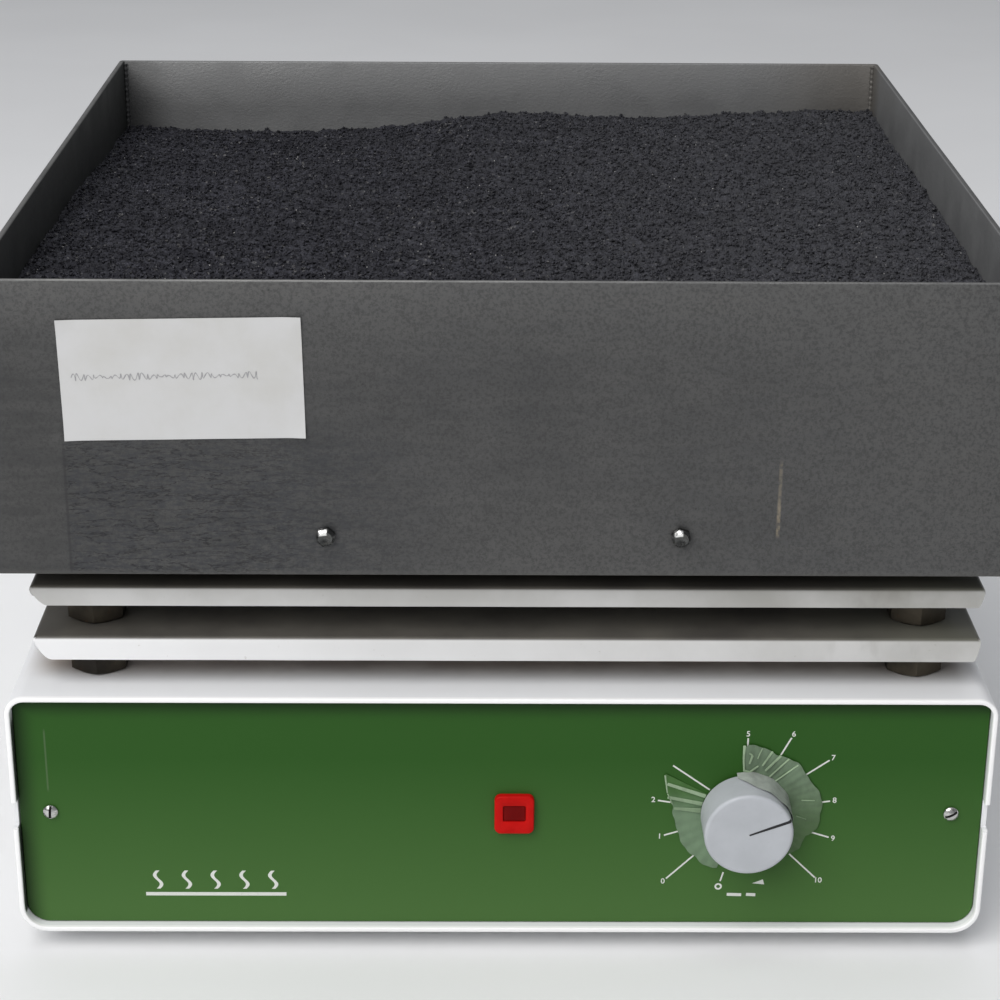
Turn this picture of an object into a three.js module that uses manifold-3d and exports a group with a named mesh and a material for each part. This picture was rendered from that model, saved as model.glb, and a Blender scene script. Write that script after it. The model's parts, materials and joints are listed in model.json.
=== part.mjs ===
// Laboratory sand bath hotplate, in millimetres.
// +X is the user's right, the controls face -Y, +Z is up and the bench is z = 0.
import * as THREE from "three";
import { mergeVertices } from "three/addons/utils/BufferGeometryUtils.js";
import Module from "manifold-3d";

// ---- Driving dimensions ----------------------------------------------------------------------

const GAP = 0.3; // between pieces that touch
const THROUGH = 2; // how far a cutting body runs past the wall that it cuts

// Housing: a folded sheet sleeve with hemmed ends, open at front and back
const HOUSING_WIDTH = 452;
const HOUSING_DEPTH = 450;
const HOUSING_BOTTOM = 10;
const HOUSING_TOP = 133;
const HOUSING_SHEET = 1.2;
const HEM_THICKNESS = 2.4;
const HEM_DEPTH = 10;
const TOP_CORNER_RADIUS = 9;
const BOTTOM_CORNER_RADIUS = 13;
const BELLY_OPENING = 320;
const CONTROL_HEIGHT = 72;
const TAB_HEIGHT = 14;
const TAB_REACH = 25;
const NOTCH_DEPTH = 5.5;

// Panels that close the sleeve
const PANEL_RECESS = 5;
const PANEL_THICKNESS = 2;
const PANEL_SCREW_X = 209;
const PANEL_SCREW_HOLE_RADIUS = 2.3;
const VENT_LENGTH = 30;
const VENT_HEIGHT = 4;
const VENT_PITCH = 10;
const VENT_COLUMNS = [-150, -105, -60];

// Base pan and feet
const BASE_PAN_SIZE = 380;
const BASE_PAN_DROP = 3.5;
const FOOT_RADIUS = 11;
const FOOT_POSITION = 175;
const FOOT_STUD_RADIUS = 2.5;

// Pilot lamp
const LAMP_X = 6;
const LAMP_WIDTH = 18.4;
const LAMP_HEIGHT = 19.8;
const LAMP_CORNER_RADIUS = 3;
const LAMP_WINDOW_WIDTH = 10;
const LAMP_WINDOW_HEIGHT = 7.8;
const LAMP_WINDOW_DEPTH = 1;
const LAMP_PROUD = 3;
const LAMP_BODY = 15.4;
const LAMP_BODY_LENGTH = 28;

// Regulator and its knob
const KNOB_X = 113;
const KNOB_RADIUS = 20.5;
const KNOB_LENGTH = 20;
const KNOB_CLEARANCE = 1.2;
const KNOB_SKIRT_DEPTH = 5;
const SHAFT_RADIUS = 3;
const BUSH_RADIUS = 5;
const BUSH_PROUD = 4.2;
const NUT_ACROSS_FLATS = 14;
const NUT_HEIGHT = 2.6;
const GRUB_SCREW_RADIUS = 2;
const REGULATOR_SIZE = 46;
const REGULATOR_DEPTH = 30;
const POINTER_ANGLE = 69; // degrees clockwise from straight up, as stored
const POINTER_WIDTH = 1.4;
const POINTER_DEPTH = 0.7;

// Power inlet, on the rear panel
const INLET_X = 150;
const INLET_WIDTH = 27.4;
const INLET_HEIGHT = 19.4;
const INLET_DEPTH = 20;
const INLET_WALL = 1.7;
const INLET_FLANGE_BORDER = 3;
const INLET_FLANGE_DEPTH = 2.5;

// Heat shields
const SHIELD_SIZE = 430;
const SHIELD_SHEET = 1.5;
const SHIELD_END_CUT = 8;
const LOWER_SHIELD_TOP = 159;
const LOWER_SHIELD_FLANGE = 11.5;
const UPPER_SHIELD_TOP = 184;
const UPPER_SHIELD_FLANGE = 9.5;

// Tie bolts and the hexagonal spacers threaded on them
const STACK_X = 2.4; // the shields and their bolts sit a little to the right
const TIE_POSITION = 189;
const TIE_RADIUS = 4;
const TIE_HOLE_RADIUS = 4.5;
const SPACER_ACROSS_FLATS = 25;

// Heater
const PAN_SIZE = 434;
const PAN_BOTTOM = 197;
const PAN_SHEET = 1.5;
const PLATE_THICKNESS = 10;
const PLATE_TOP = 230;
const ELEMENT_RADIUS = 4.2;
const ELEMENT_RUNS = 6;
const ELEMENT_PITCH = 70;
const ELEMENT_HALF_LENGTH = 150;
const BOARD_SIZE = 425;
const BOARD_THICKNESS = 8;
const CONDUIT_Y = 120;
const CONDUIT_RADIUS = 8;
const CONDUIT_BORE_RADIUS = 6.2;
const CONDUIT_HOLE_RADIUS = 8.6;
const LEAD_RADIUS = 1.5;

// Sand tray
const TRAY_SIZE = 454;
const TRAY_SHEET = 3;
const TRAY_BOTTOM = 195.3;
const TRAY_HEIGHT = 135;
const TRAY_SCREW_X = 78;
const TRAY_SCREW_HEIGHT = 19;
const TRAY_HOLE_RADIUS = 2.8;
const TRAY_SCREW_ACROSS_FLATS = 8;
const TRAY_SCREW_HEAD_HEIGHT = 4;
const LABEL_WIDTH = 104;
const LABEL_HEIGHT = 54.5;
const LABEL_THICKNESS = 0.2;
const LABEL_X = -138;
const LABEL_Z = 286.5;
const LABEL_TILT = 1; // degrees
const SAND_DEPTH_BELOW_RIM = 33;
const SAND_RIPPLE = 1.2;
const SAND_CELLS = 14;

// ---- Derived places ---------------------------------------------------------------------------

const FRONT = -HOUSING_DEPTH / 2;
const PANEL_FRONT = FRONT + PANEL_RECESS;
const PANEL_BACK = PANEL_FRONT + PANEL_THICKNESS;
const KNOB_BASE = PANEL_FRONT - KNOB_CLEARANCE;
const KNOB_FACE = KNOB_BASE - KNOB_LENGTH;
const TRAY_HALF = TRAY_SIZE / 2;
const TRAY_INNER = TRAY_SIZE - 2 * TRAY_SHEET;
const TRAY_TOP = TRAY_BOTTOM + TRAY_HEIGHT;
const TRAY_FLOOR_UNDERSIDE = PLATE_TOP + GAP;
const TRAY_FLOOR = TRAY_FLOOR_UNDERSIDE + TRAY_SHEET;
const PLATE_BOTTOM = PLATE_TOP - PLATE_THICKNESS;
const ELEMENT_Z = PLATE_BOTTOM - 2 * GAP - ELEMENT_RADIUS;
const BOARD_BOTTOM = PAN_BOTTOM + PAN_SHEET + GAP;
const BASE_WEB_TOP = HOUSING_BOTTOM - GAP;
const BASE_WEB_BOTTOM = BASE_WEB_TOP - HOUSING_SHEET;
const REAR_MOST = TRAY_HALF + GAP + TRAY_SCREW_HEAD_HEIGHT;
const CORNERS = [
  ["front_left", -1, -1],
  ["front_right", 1, -1],
  ["rear_left", -1, 1],
  ["rear_right", 1, 1],
];

// ---- Materials --------------------------------------------------------------------------------

function paint(color, roughness, metalness = 0) {
  return new THREE.MeshStandardMaterial({ color, roughness, metalness });
}

const WHITE_ENAMEL = paint(0xecedee, 0.35);
const GREEN_ENAMEL = paint(0x3b5f2b, 0.4);
const SHIELD_ENAMEL = paint(0xcfd1d3, 0.45);
const BLACK_SHEET = paint(0x1b1b1c, 0.6);
const MILL_STEEL = paint(0x585857, 0.5, 0.8);
const BRIGHT_STEEL = paint(0xb9babc, 0.25, 1);
const HEATED_STEEL = paint(0x6d6250, 0.5, 0.8);
const CAST_PLATE = paint(0x3c3a38, 0.8, 0.5);
const GREY_PLASTIC = paint(0xafb2b9, 0.4);
const BLACK_PLASTIC = paint(0x161616, 0.5);
const RED_LENS = paint(0xb01410, 0.2);
const BLACK_RUBBER = paint(0x1a1a1a, 0.85);
const FIBRE_BOARD = paint(0xd9d4c6, 0.95);
const BRASS = paint(0xb08d45, 0.3, 1);
const LEAD_SLEEVE = paint(0xc9b79a, 0.8);
const BLACK_SAND = paint(0x2d2d31, 0.9);
const PAPER = paint(0xd8d8d5, 0.9);

// ---- Solids -----------------------------------------------------------------------------------

const wasm = await Module();
wasm.setup();

function signedVolume(vertices, triangles) {
  const corner = (i) => new THREE.Vector3().fromArray(vertices, 3 * triangles[i]);
  let volume = 0;
  for (let i = 0; i < triangles.length; i += 3) {
    volume += corner(i).dot(corner(i + 1).cross(corner(i + 2)));
  }
  return volume;
}

// A closed geometry as a solid whose faces point out.
function solid(geometry) {
  const bare = geometry.clone();
  bare.deleteAttribute("normal");
  bare.deleteAttribute("uv");
  const merged = mergeVertices(bare, 1e-4);
  const vertProperties = Float32Array.from(merged.attributes.position.array);
  const triVerts = Uint32Array.from(merged.index.array);
  if (signedVolume(vertProperties, triVerts) < 0) triVerts.reverse();
  return new wasm.Manifold(new wasm.Mesh({ numProp: 3, vertProperties, triVerts }));
}

function geometryOf(body) {
  const { vertProperties, triVerts } = body.getMesh();
  const geometry = new THREE.BufferGeometry();
  geometry.setAttribute("position", new THREE.BufferAttribute(vertProperties, 3));
  geometry.setIndex(new THREE.BufferAttribute(triVerts, 1));
  geometry.computeVertexNormals();
  return geometry;
}

function union(bodies) {
  return bodies.reduce((sum, body) => sum.add(body));
}

function cut(body, cutters) {
  return cutters.reduce((rest, cutter) => rest.subtract(cutter), body);
}

// A box given by its span along each axis.
function block([x0, x1], [y0, y1], [z0, z1]) {
  const geometry = new THREE.BoxGeometry(x1 - x0, y1 - y0, z1 - z0);
  geometry.translate((x0 + x1) / 2, (y0 + y1) / 2, (z0 + z1) / 2);
  return solid(geometry);
}

// A square box about the Z axis.
function slab(size, bottom, top) {
  const across = [-size / 2, size / 2];
  return block(across, across, [bottom, top]);
}

const AXIS_TURN = {
  x: (geometry) => geometry.rotateZ(-Math.PI / 2),
  y: (geometry) => geometry,
  z: (geometry) => geometry.rotateX(Math.PI / 2),
};

// A round or polygonal bar along an axis, from one place on it to another.
function bar(axis, radius, from, to, centre = [0, 0, 0], sides = 12) {
  const geometry = new THREE.CylinderGeometry(radius, radius, to - from, sides);
  AXIS_TURN[axis](geometry);
  const place = new THREE.Vector3(...centre);
  place[axis] = (from + to) / 2;
  geometry.translate(place.x, place.y, place.z);
  return solid(geometry);
}

function hexBar(axis, acrossFlats, from, to, centre) {
  return bar(axis, acrossFlats / Math.sqrt(3), from, to, centre, 6);
}

// A body turned about an axis, from points of [radius, height along the axis].
function turned(axis, points, sides = 16) {
  const profile = points.map(([radius, height]) => new THREE.Vector2(radius, height));
  const geometry = new THREE.LatheGeometry(profile, sides);
  return solid(AXIS_TURN[axis](geometry));
}

// An outline in X and Z, carried along Y.
function alongY(shape, y0, y1) {
  const options = { depth: y1 - y0, bevelEnabled: false, curveSegments: 4 };
  const geometry = new THREE.ExtrudeGeometry(shape, options);
  geometry.rotateX(Math.PI / 2).translate(0, y1, 0);
  return solid(geometry);
}

function roundedOutline(x0, x1, z0, z1, bottomRadius, topRadius) {
  const shape = new THREE.Shape();
  const quarter = Math.PI / 2;
  shape.absarc(x1 - bottomRadius, z0 + bottomRadius, bottomRadius, -quarter, 0);
  shape.absarc(x1 - topRadius, z1 - topRadius, topRadius, 0, quarter);
  shape.absarc(x0 + topRadius, z1 - topRadius, topRadius, quarter, 2 * quarter);
  shape.absarc(x0 + bottomRadius, z0 + bottomRadius, bottomRadius, 2 * quarter, 3 * quarter);
  shape.closePath();
  return shape;
}

// A round tube or lead along a smooth curve through the given points.
function tube(radius, points, steps, sides) {
  const places = points.map((point) => new THREE.Vector3(...point));
  const curve = new THREE.CatmullRomCurve3(places, false, "centripetal");
  const section = new THREE.Shape();
  for (let i = 0; i < sides; i += 1) {
    const angle = (2 * Math.PI * i) / sides;
    const place = [radius * Math.cos(angle), radius * Math.sin(angle)];
    if (i === 0) section.moveTo(...place);
    else section.lineTo(...place);
  }
  section.closePath();
  return solid(new THREE.ExtrudeGeometry(section, { steps, extrudePath: curve, bevelEnabled: false }));
}

function named(name, body, material) {
  const mesh = new THREE.Mesh(geometryOf(body), material);
  mesh.name = name;
  return mesh;
}

function placed(mesh, x, y, z, turn = 0) {
  mesh.position.set(x, y, z);
  mesh.rotation.z = turn;
  return mesh;
}

// Where a tie bolt's axis crosses z = 0.
function tieSpot(side, end) {
  return [STACK_X + side * TIE_POSITION, end * TIE_POSITION, 0];
}

// The span between two places, given in either order.
function span(a, b) {
  return [Math.min(a, b), Math.max(a, b)];
}

const TAB_SPAN = [CONTROL_HEIGHT - TAB_HEIGHT / 2, CONTROL_HEIGHT + TAB_HEIGHT / 2];

// ---- Housing ----------------------------------------------------------------------------------

// The sleeve's outline, taken in from its outer face by a distance.
function sleeveOutline(inset) {
  const half = HOUSING_WIDTH / 2 - inset;
  const bottomRadius = BOTTOM_CORNER_RADIUS - inset;
  const topRadius = TOP_CORNER_RADIUS - inset;
  const heights = [HOUSING_BOTTOM + inset, HOUSING_TOP - inset];
  return roundedOutline(-half, half, ...heights, bottomRadius, topRadius);
}

// A tab lanced from the side wall and bent in behind a panel, and the notch that it leaves.
function panelTab(side, end) {
  const wall = side * (HOUSING_WIDTH / 2 - HOUSING_SHEET / 2);
  const reach = side * (HOUSING_WIDTH / 2 - TAB_REACH);
  const near = end * (PANEL_BACK + GAP);
  const far = near + end * HOUSING_SHEET;
  const tab = block(span(wall, reach), span(near, far), TAB_SPAN);
  const hole = bar("y", PANEL_SCREW_HOLE_RADIUS, -THROUGH * 2, THROUGH * 2);
  return cut(tab, [hole.translate([side * PANEL_SCREW_X, (near + far) / 2, CONTROL_HEIGHT])]);
}

function housingSleeve() {
  const half = HOUSING_DEPTH / 2;
  const past = half + THROUGH;
  const hollow = alongY(sleeveOutline(HOUSING_SHEET), -half + HEM_DEPTH, half - HEM_DEPTH);
  const mouth = alongY(sleeveOutline(HEM_THICKNESS), -past, past);
  const belly = slab(BELLY_OPENING, HOUSING_BOTTOM - THROUGH, HOUSING_BOTTOM + HEM_THICKNESS + THROUGH);
  const cutters = [hollow, mouth, belly];
  for (const [, side, end] of CORNERS) {
    const tie = bar("z", TIE_HOLE_RADIUS, HOUSING_TOP - 2 * THROUGH, HOUSING_TOP + THROUGH);
    const stud = bar("z", FOOT_STUD_RADIUS + GAP, HOUSING_BOTTOM - THROUGH, HOUSING_BOTTOM + 2 * THROUGH);
    const outer = side * (HOUSING_WIDTH / 2 + THROUGH);
    const inner = side * (HOUSING_WIDTH / 2 - HEM_THICKNESS - THROUGH);
    const deep = end * (half - NOTCH_DEPTH);
    cutters.push(block(span(outer, inner), span(deep, end * past), TAB_SPAN));
    cutters.push(tie.translate(tieSpot(side, end)));
    cutters.push(stud.translate([side * FOOT_POSITION, end * FOOT_POSITION, 0]));
  }
  const conduitHole = bar("z", CONDUIT_HOLE_RADIUS, HOUSING_TOP - 2 * THROUGH, HOUSING_TOP + THROUGH);
  cutters.push(conduitHole.translate([0, CONDUIT_Y, 0]));
  const shell = cut(alongY(sleeveOutline(0), -half, half), cutters);
  const tabs = CORNERS.map(([, side, end]) => panelTab(side, -end));
  return named("housing_sleeve", union([shell, ...tabs]), WHITE_ENAMEL);
}

function panelScrewHoles(y0, y1) {
  const hole = bar("y", PANEL_SCREW_HOLE_RADIUS, y0 - THROUGH, y1 + THROUGH);
  return [-1, 1].map((side) => hole.translate([side * PANEL_SCREW_X, 0, CONTROL_HEIGHT]));
}

function frontPanel() {
  const lampHalf = LAMP_BODY / 2 + GAP;
  const lampHole = block(
    [LAMP_X - lampHalf, LAMP_X + lampHalf],
    [PANEL_FRONT - THROUGH, PANEL_BACK + THROUGH],
    [CONTROL_HEIGHT - lampHalf, CONTROL_HEIGHT + lampHalf],
  );
  const centre = [KNOB_X, 0, CONTROL_HEIGHT];
  const bushHole = bar("y", BUSH_RADIUS + GAP, PANEL_FRONT - THROUGH, PANEL_BACK + THROUGH, centre);
  const sheet = alongY(sleeveOutline(HEM_THICKNESS + GAP), PANEL_FRONT, PANEL_BACK);
  const holes = panelScrewHoles(PANEL_FRONT, PANEL_BACK);
  return named("front_panel", cut(sheet, [lampHole, bushHole, ...holes]), GREEN_ENAMEL);
}

function rearPanel() {
  const sheet = alongY(sleeveOutline(HEM_THICKNESS + GAP), -PANEL_BACK, -PANEL_FRONT);
  const wide = INLET_WIDTH / 2 + GAP;
  const high = INLET_HEIGHT / 2 + GAP;
  const through = [-PANEL_BACK - THROUGH, -PANEL_FRONT + THROUGH];
  const inletHeights = [CONTROL_HEIGHT - high, CONTROL_HEIGHT + high];
  const cutters = [block([INLET_X - wide, INLET_X + wide], through, inletHeights)];
  for (const x of VENT_COLUMNS) {
    for (const row of [-2, -1, 0, 1, 2]) {
      const z = CONTROL_HEIGHT + row * VENT_PITCH;
      const slot = [x - VENT_LENGTH / 2, x + VENT_LENGTH / 2];
      cutters.push(block(slot, through, [z - VENT_HEIGHT / 2, z + VENT_HEIGHT / 2]));
    }
  }
  cutters.push(...panelScrewHoles(-PANEL_BACK, -PANEL_FRONT));
  return named("rear_panel", cut(sheet, cutters), WHITE_ENAMEL);
}

// A pan-head screw along Y with its head's underside at the origin and a slot across its head.
function slottedScrew(headRadius, headHeight, shankRadius, length) {
  const profile = [
    [0, -headHeight],
    [0.55 * headRadius, -0.93 * headHeight],
    [0.85 * headRadius, -0.65 * headHeight],
    [headRadius, -0.2 * headHeight],
    [headRadius, 0],
  ];
  const body = turned("y", [...profile, [shankRadius, 0], [shankRadius, length], [0, length]], 12);
  const halfSlot = 0.14 * headRadius;
  const slot = block(
    [-halfSlot, halfSlot],
    [-headHeight - THROUGH, -0.55 * headHeight],
    [-headRadius - THROUGH, headRadius + THROUGH],
  );
  return body.subtract(slot);
}

function panelScrews() {
  const head = { radius: 3.5, height: 2.2 };
  const seat = PANEL_FRONT - GAP;
  const place = { front: [seat, 0], rear: [-seat, Math.PI] };
  return ["front", "rear"].flatMap((end) => [-1, 1].map((side) => {
    const mesh = named(
      `panel_screw_${end}_${side < 0 ? "left" : "right"}`,
      slottedScrew(head.radius, head.height, PANEL_SCREW_HOLE_RADIUS - GAP, 8),
      BRIGHT_STEEL,
    );
    const [y, turn] = place[end];
    return placed(mesh, side * PANEL_SCREW_X, y, CONTROL_HEIGHT, turn);
  }));
}

function basePan() {
  const outer = slab(BASE_PAN_SIZE, BASE_WEB_BOTTOM - BASE_PAN_DROP, BASE_WEB_TOP);
  const innerSize = BASE_PAN_SIZE - 2 * HOUSING_SHEET;
  const inside = slab(innerSize, BASE_WEB_BOTTOM - 2 * BASE_PAN_DROP, BASE_WEB_BOTTOM);
  const studs = CORNERS.map(([, side, end]) => {
    const centre = [side * FOOT_POSITION, end * FOOT_POSITION, 0];
    return bar("z", FOOT_STUD_RADIUS + GAP, 0, BASE_WEB_TOP + THROUGH, centre);
  });
  const vents = [-60, -30, 0, 30, 60].map((y) => {
    return block([-60, 60], [y - VENT_HEIGHT / 2, y + VENT_HEIGHT / 2], [0, BASE_WEB_TOP + THROUGH]);
  });
  return named("base_pan", cut(outer, [inside, ...studs, ...vents]), BLACK_SHEET);
}

function feet() {
  const top = BASE_WEB_BOTTOM - GAP;
  const profile = [
    [0, 0],
    [FOOT_RADIUS - 1, 0],
    [FOOT_RADIUS, 1],
    [FOOT_RADIUS, top],
    [FOOT_STUD_RADIUS, top],
    [FOOT_STUD_RADIUS, top + 10],
    [0, top + 10],
  ];
  return CORNERS.map(([corner, side, end]) => {
    const mesh = named(`foot_${corner}`, turned("z", profile, 16), BLACK_RUBBER);
    return placed(mesh, side * FOOT_POSITION, end * FOOT_POSITION, 0);
  });
}

// ---- Controls and wiring ----------------------------------------------------------------------

function pilotLamp() {
  const wide = LAMP_WIDTH / 2;
  const high = LAMP_HEIGHT / 2;
  const front = -LAMP_PROUD - GAP;
  const outline = roundedOutline(-wide, wide, -high, high, LAMP_CORNER_RADIUS, LAMP_CORNER_RADIUS);
  const windowWidth = [-LAMP_WINDOW_WIDTH / 2, LAMP_WINDOW_WIDTH / 2];
  const windowHeight = [-LAMP_WINDOW_HEIGHT / 2, LAMP_WINDOW_HEIGHT / 2];
  const window = block(windowWidth, [front - THROUGH, front + LAMP_WINDOW_DEPTH], windowHeight);
  const lens = named("pilot_lamp_lens", alongY(outline, front, -GAP).subtract(window), RED_LENS);
  const bodyHalf = LAMP_BODY / 2;
  const shell = block([-bodyHalf, bodyHalf], [0, LAMP_BODY_LENGTH], [-bodyHalf, bodyHalf]);
  const bladeReach = [LAMP_BODY_LENGTH - 1, LAMP_BODY_LENGTH + 8];
  const blades = [-4, 4].map((x) => block([x - 0.4, x + 0.4], bladeReach, [-3, 3]));
  const body = named("pilot_lamp_body", union([shell, ...blades]), BLACK_PLASTIC);
  return [lens, body].map((mesh) => placed(mesh, LAMP_X, PANEL_FRONT, CONTROL_HEIGHT));
}

function regulator() {
  const half = REGULATOR_SIZE / 2;
  const near = PANEL_THICKNESS + GAP;
  const far = near + REGULATOR_DEPTH;
  const caseBody = block([-half, half], [near, far], [-half, half]);
  const bush = bar("y", BUSH_RADIUS, -BUSH_PROUD, near + 1);
  const blades = [-12, 12].map((x) => block([x - 3, x + 3], [far - 1, far + 8], [-0.4, 0.4]));
  const bore = bar("y", SHAFT_RADIUS + GAP, -BUSH_PROUD - THROUGH, near + 20);
  const body = named("regulator_body", cut(union([caseBody, bush, ...blades]), [bore]), BLACK_PLASTIC);
  const nutBody = hexBar("y", NUT_ACROSS_FLATS, -GAP - NUT_HEIGHT, -GAP);
  const nutHole = bar("y", BUSH_RADIUS + GAP, -4 * THROUGH, THROUGH);
  const nut = named("regulator_nut", nutBody.subtract(nutHole), BRASS);
  return [body, nut].map((mesh) => placed(mesh, KNOB_X, PANEL_FRONT, CONTROL_HEIGHT));
}

// The turning group, drawn with its pointer up and its base at the origin, facing -Y.
function control() {
  const face = -KNOB_LENGTH;
  const socketEnd = face + 3;
  const outline = [
    [SHAFT_RADIUS + GAP, socketEnd],
    [0, socketEnd],
    [0, face],
    [KNOB_RADIUS - 0.8, face],
    [KNOB_RADIUS, face + 0.8],
    [KNOB_RADIUS, 0],
    [KNOB_RADIUS - 3, 0],
    [KNOB_RADIUS - 3, -KNOB_SKIRT_DEPTH],
    [SHAFT_RADIUS + GAP, -KNOB_SKIRT_DEPTH],
  ];
  const ring = turned("y", [...outline, outline[0]], 36);
  const line = [1.5, KNOB_RADIUS + THROUGH];
  const halfWidth = POINTER_WIDTH / 2;
  const groove = block([-halfWidth, halfWidth], [face - THROUGH, face + POINTER_DEPTH], line);
  const screwY = face + 8;
  const screwHole = bar("z", GRUB_SCREW_RADIUS + GAP, -KNOB_RADIUS - THROUGH, 0, [0, screwY, 0]);
  const knob = named("control_knob", cut(ring, [groove, screwHole]), GREY_PLASTIC);

  const inlayHalf = halfWidth - GAP;
  const inlayLine = [line[0] + GAP, KNOB_RADIUS - 0.9];
  const inlay = block([-inlayHalf, inlayHalf], [face, face + POINTER_DEPTH - GAP], inlayLine);
  const pointer = named("knob_pointer", inlay, BLACK_PLASTIC);

  const shaftEnd = KNOB_CLEARANCE + PANEL_THICKNESS + 16;
  const shaft = named("regulator_shaft", bar("y", SHAFT_RADIUS, socketEnd + GAP, shaftEnd), BRIGHT_STEEL);
  const screwSpan = [-KNOB_RADIUS + 1.5, -SHAFT_RADIUS - GAP];
  const grubScrew = bar("z", GRUB_SCREW_RADIUS, ...screwSpan, [0, screwY, 0]);
  const grub = named("knob_grub_screw", grubScrew, BRIGHT_STEEL);

  const group = new THREE.Group();
  group.add(knob, pointer, shaft, grub);
  group.position.set(KNOB_X, KNOB_BASE, CONTROL_HEIGHT);
  group.rotation.y = THREE.MathUtils.degToRad(POINTER_ANGLE);
  return group;
}

function powerInlet() {
  const wide = INLET_WIDTH / 2;
  const high = INLET_HEIGHT / 2;
  const shell = block([-wide, wide], [-INLET_DEPTH, GAP + 1], [-high, high]);
  const flangeWide = wide + INLET_FLANGE_BORDER;
  const flangeHigh = high + INLET_FLANGE_BORDER;
  const flangeSpan = [GAP, GAP + INLET_FLANGE_DEPTH];
  const flange = block([-flangeWide, flangeWide], flangeSpan, [-flangeHigh, flangeHigh]);
  const floor = -INLET_DEPTH + 4;
  const innerWide = wide - INLET_WALL;
  const innerHigh = high - INLET_WALL;
  const mouth = [floor, 2 * INLET_FLANGE_DEPTH];
  const cavity = block([-innerWide, innerWide], mouth, [-innerHigh, innerHigh]);
  const pinPlaces = [[-7, -2], [0, 2], [7, -2]];
  const pins = pinPlaces.map(([x, z]) => block([x - 1, x + 1], [floor - 1, -3], [z - 2, z + 2]));
  const bladeReach = [-INLET_DEPTH - 7, -INLET_DEPTH + 1];
  const blades = pinPlaces.map(([x, z]) => block([x - 0.4, x + 0.4], bladeReach, [z - 3, z + 3]));
  const body = union([cut(union([shell, flange]), [cavity]), ...pins, ...blades]);
  return placed(named("power_inlet", body, BLACK_PLASTIC), INLET_X, -PANEL_FRONT, CONTROL_HEIGHT);
}

function terminalBlock() {
  const base = block([-30, 30], [-11, 11], [0, 9]);
  const towers = [-18, 0, 18].map((x) => block([x - 6, x + 6], [-7, 7], [8, 20]));
  const wells = [-18, 0, 18].flatMap((x) => [-3.5, 3.5].map((y) => bar("z", 2.2, 13, 22, [x, y, 0], 10)));
  const body = cut(union([base, ...towers]), wells);
  return placed(named("terminal_block", body, BLACK_PLASTIC), 0, 20, HOUSING_BOTTOM);
}

function earthStud() {
  const body = union([hexBar("z", 10, 0, 4), bar("z", 2.5, 3, 18)]);
  return placed(named("earth_stud", body, BRASS), 90, 130, HOUSING_BOTTOM);
}

function leadConduit() {
  const bottom = HOUSING_TOP - HOUSING_SHEET - GAP - 2;
  const top = BOARD_BOTTOM + 3;
  const flange = bar("z", CONDUIT_RADIUS + 4, bottom, bottom + 2);
  const pipe = bar("z", CONDUIT_RADIUS, bottom + 1, top);
  const bore = bar("z", CONDUIT_BORE_RADIUS, bottom - THROUGH, top + THROUGH);
  return placed(named("lead_conduit", cut(union([flange, pipe]), [bore]), HEATED_STEEL), 0, CONDUIT_Y, 0);
}

function leads() {
  const inletBack = -PANEL_FRONT - 28.5;
  const bladeBack = PANEL_BACK + GAP + REGULATOR_DEPTH + 9.5;
  const conduitLeft = -2.6;
  const conduitRight = 2.6;
  const terminalTop = HOUSING_BOTTOM + 21;
  const elementEnd = ELEMENT_PITCH * (ELEMENT_RUNS - 1) / 2;
  const underElement = ELEMENT_Z - ELEMENT_RADIUS - LEAD_RADIUS - 2 * GAP;
  const routes = {
    mains_live_lead: [
      [INLET_X - 7, inletBack, 70], [INLET_X - 7, 150, 66], [170, 90, 30], [172, -60, 24],
      [150, -140, 50], [KNOB_X + 12, -165, 70], [KNOB_X + 12, bladeBack, 72],
    ],
    mains_neutral_lead: [
      [INLET_X + 7, inletBack, 70], [INLET_X + 4, 165, 60], [110, 90, 40], [50, 60, 50],
      [18, 30, 46], [18, 23.5, terminalTop],
    ],
    earth_lead: [
      [INLET_X, inletBack, 74], [INLET_X - 4, 170, 76], [110, 140, 60], [90, 130, 42], [90, 130, 28.6],
    ],
    heater_live_lead: [
      [KNOB_X - 12, bladeBack, 72], [KNOB_X - 12, -160, 74], [70, -90, 90], [30, 40, 100],
      [conduitRight + 4, 100, 112], [conduitRight, CONDUIT_Y, 128], [conduitRight, CONDUIT_Y, 190],
      [conduitRight, CONDUIT_Y, 201], [conduitRight + 3, CONDUIT_Y + 3, 207.6],
      [conduitRight + 14, CONDUIT_Y + 10, underElement], [120, 172, underElement],
      [elementEnd, 176, underElement],
    ],
    heater_neutral_lead: [
      [-18, 23.5, terminalTop], [-18, 40, 60], [-12, 80, 96], [conduitLeft - 3, 108, 112],
      [conduitLeft, CONDUIT_Y, 128], [conduitLeft, CONDUIT_Y, 190], [conduitLeft, CONDUIT_Y, 201],
      [conduitLeft - 3, CONDUIT_Y + 3, 207.6], [conduitLeft - 14, CONDUIT_Y + 10, underElement],
      [-120, 172, underElement], [-elementEnd, 176, underElement],
    ],
    lamp_lead: [
      [LAMP_X, PANEL_FRONT + LAMP_BODY_LENGTH + 9.5, 72], [LAMP_X, -165, 66], [0, -80, 40],
      [0, 0, 46], [0, 16.5, terminalTop],
    ],
  };
  return Object.entries(routes).map(([name, points]) => {
    return named(name, tube(LEAD_RADIUS, points, 4 * points.length, 6), LEAD_SLEEVE);
  });
}

// ---- Heat shields and tie bolts ---------------------------------------------------------------

function flangeOutline(half, drop) {
  const shape = new THREE.Shape();
  shape.moveTo(-half, 0);
  shape.lineTo(-half + SHIELD_END_CUT, -drop);
  shape.lineTo(half - SHIELD_END_CUT, -drop);
  shape.lineTo(half, 0);
  shape.closePath();
  return shape;
}

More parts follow.
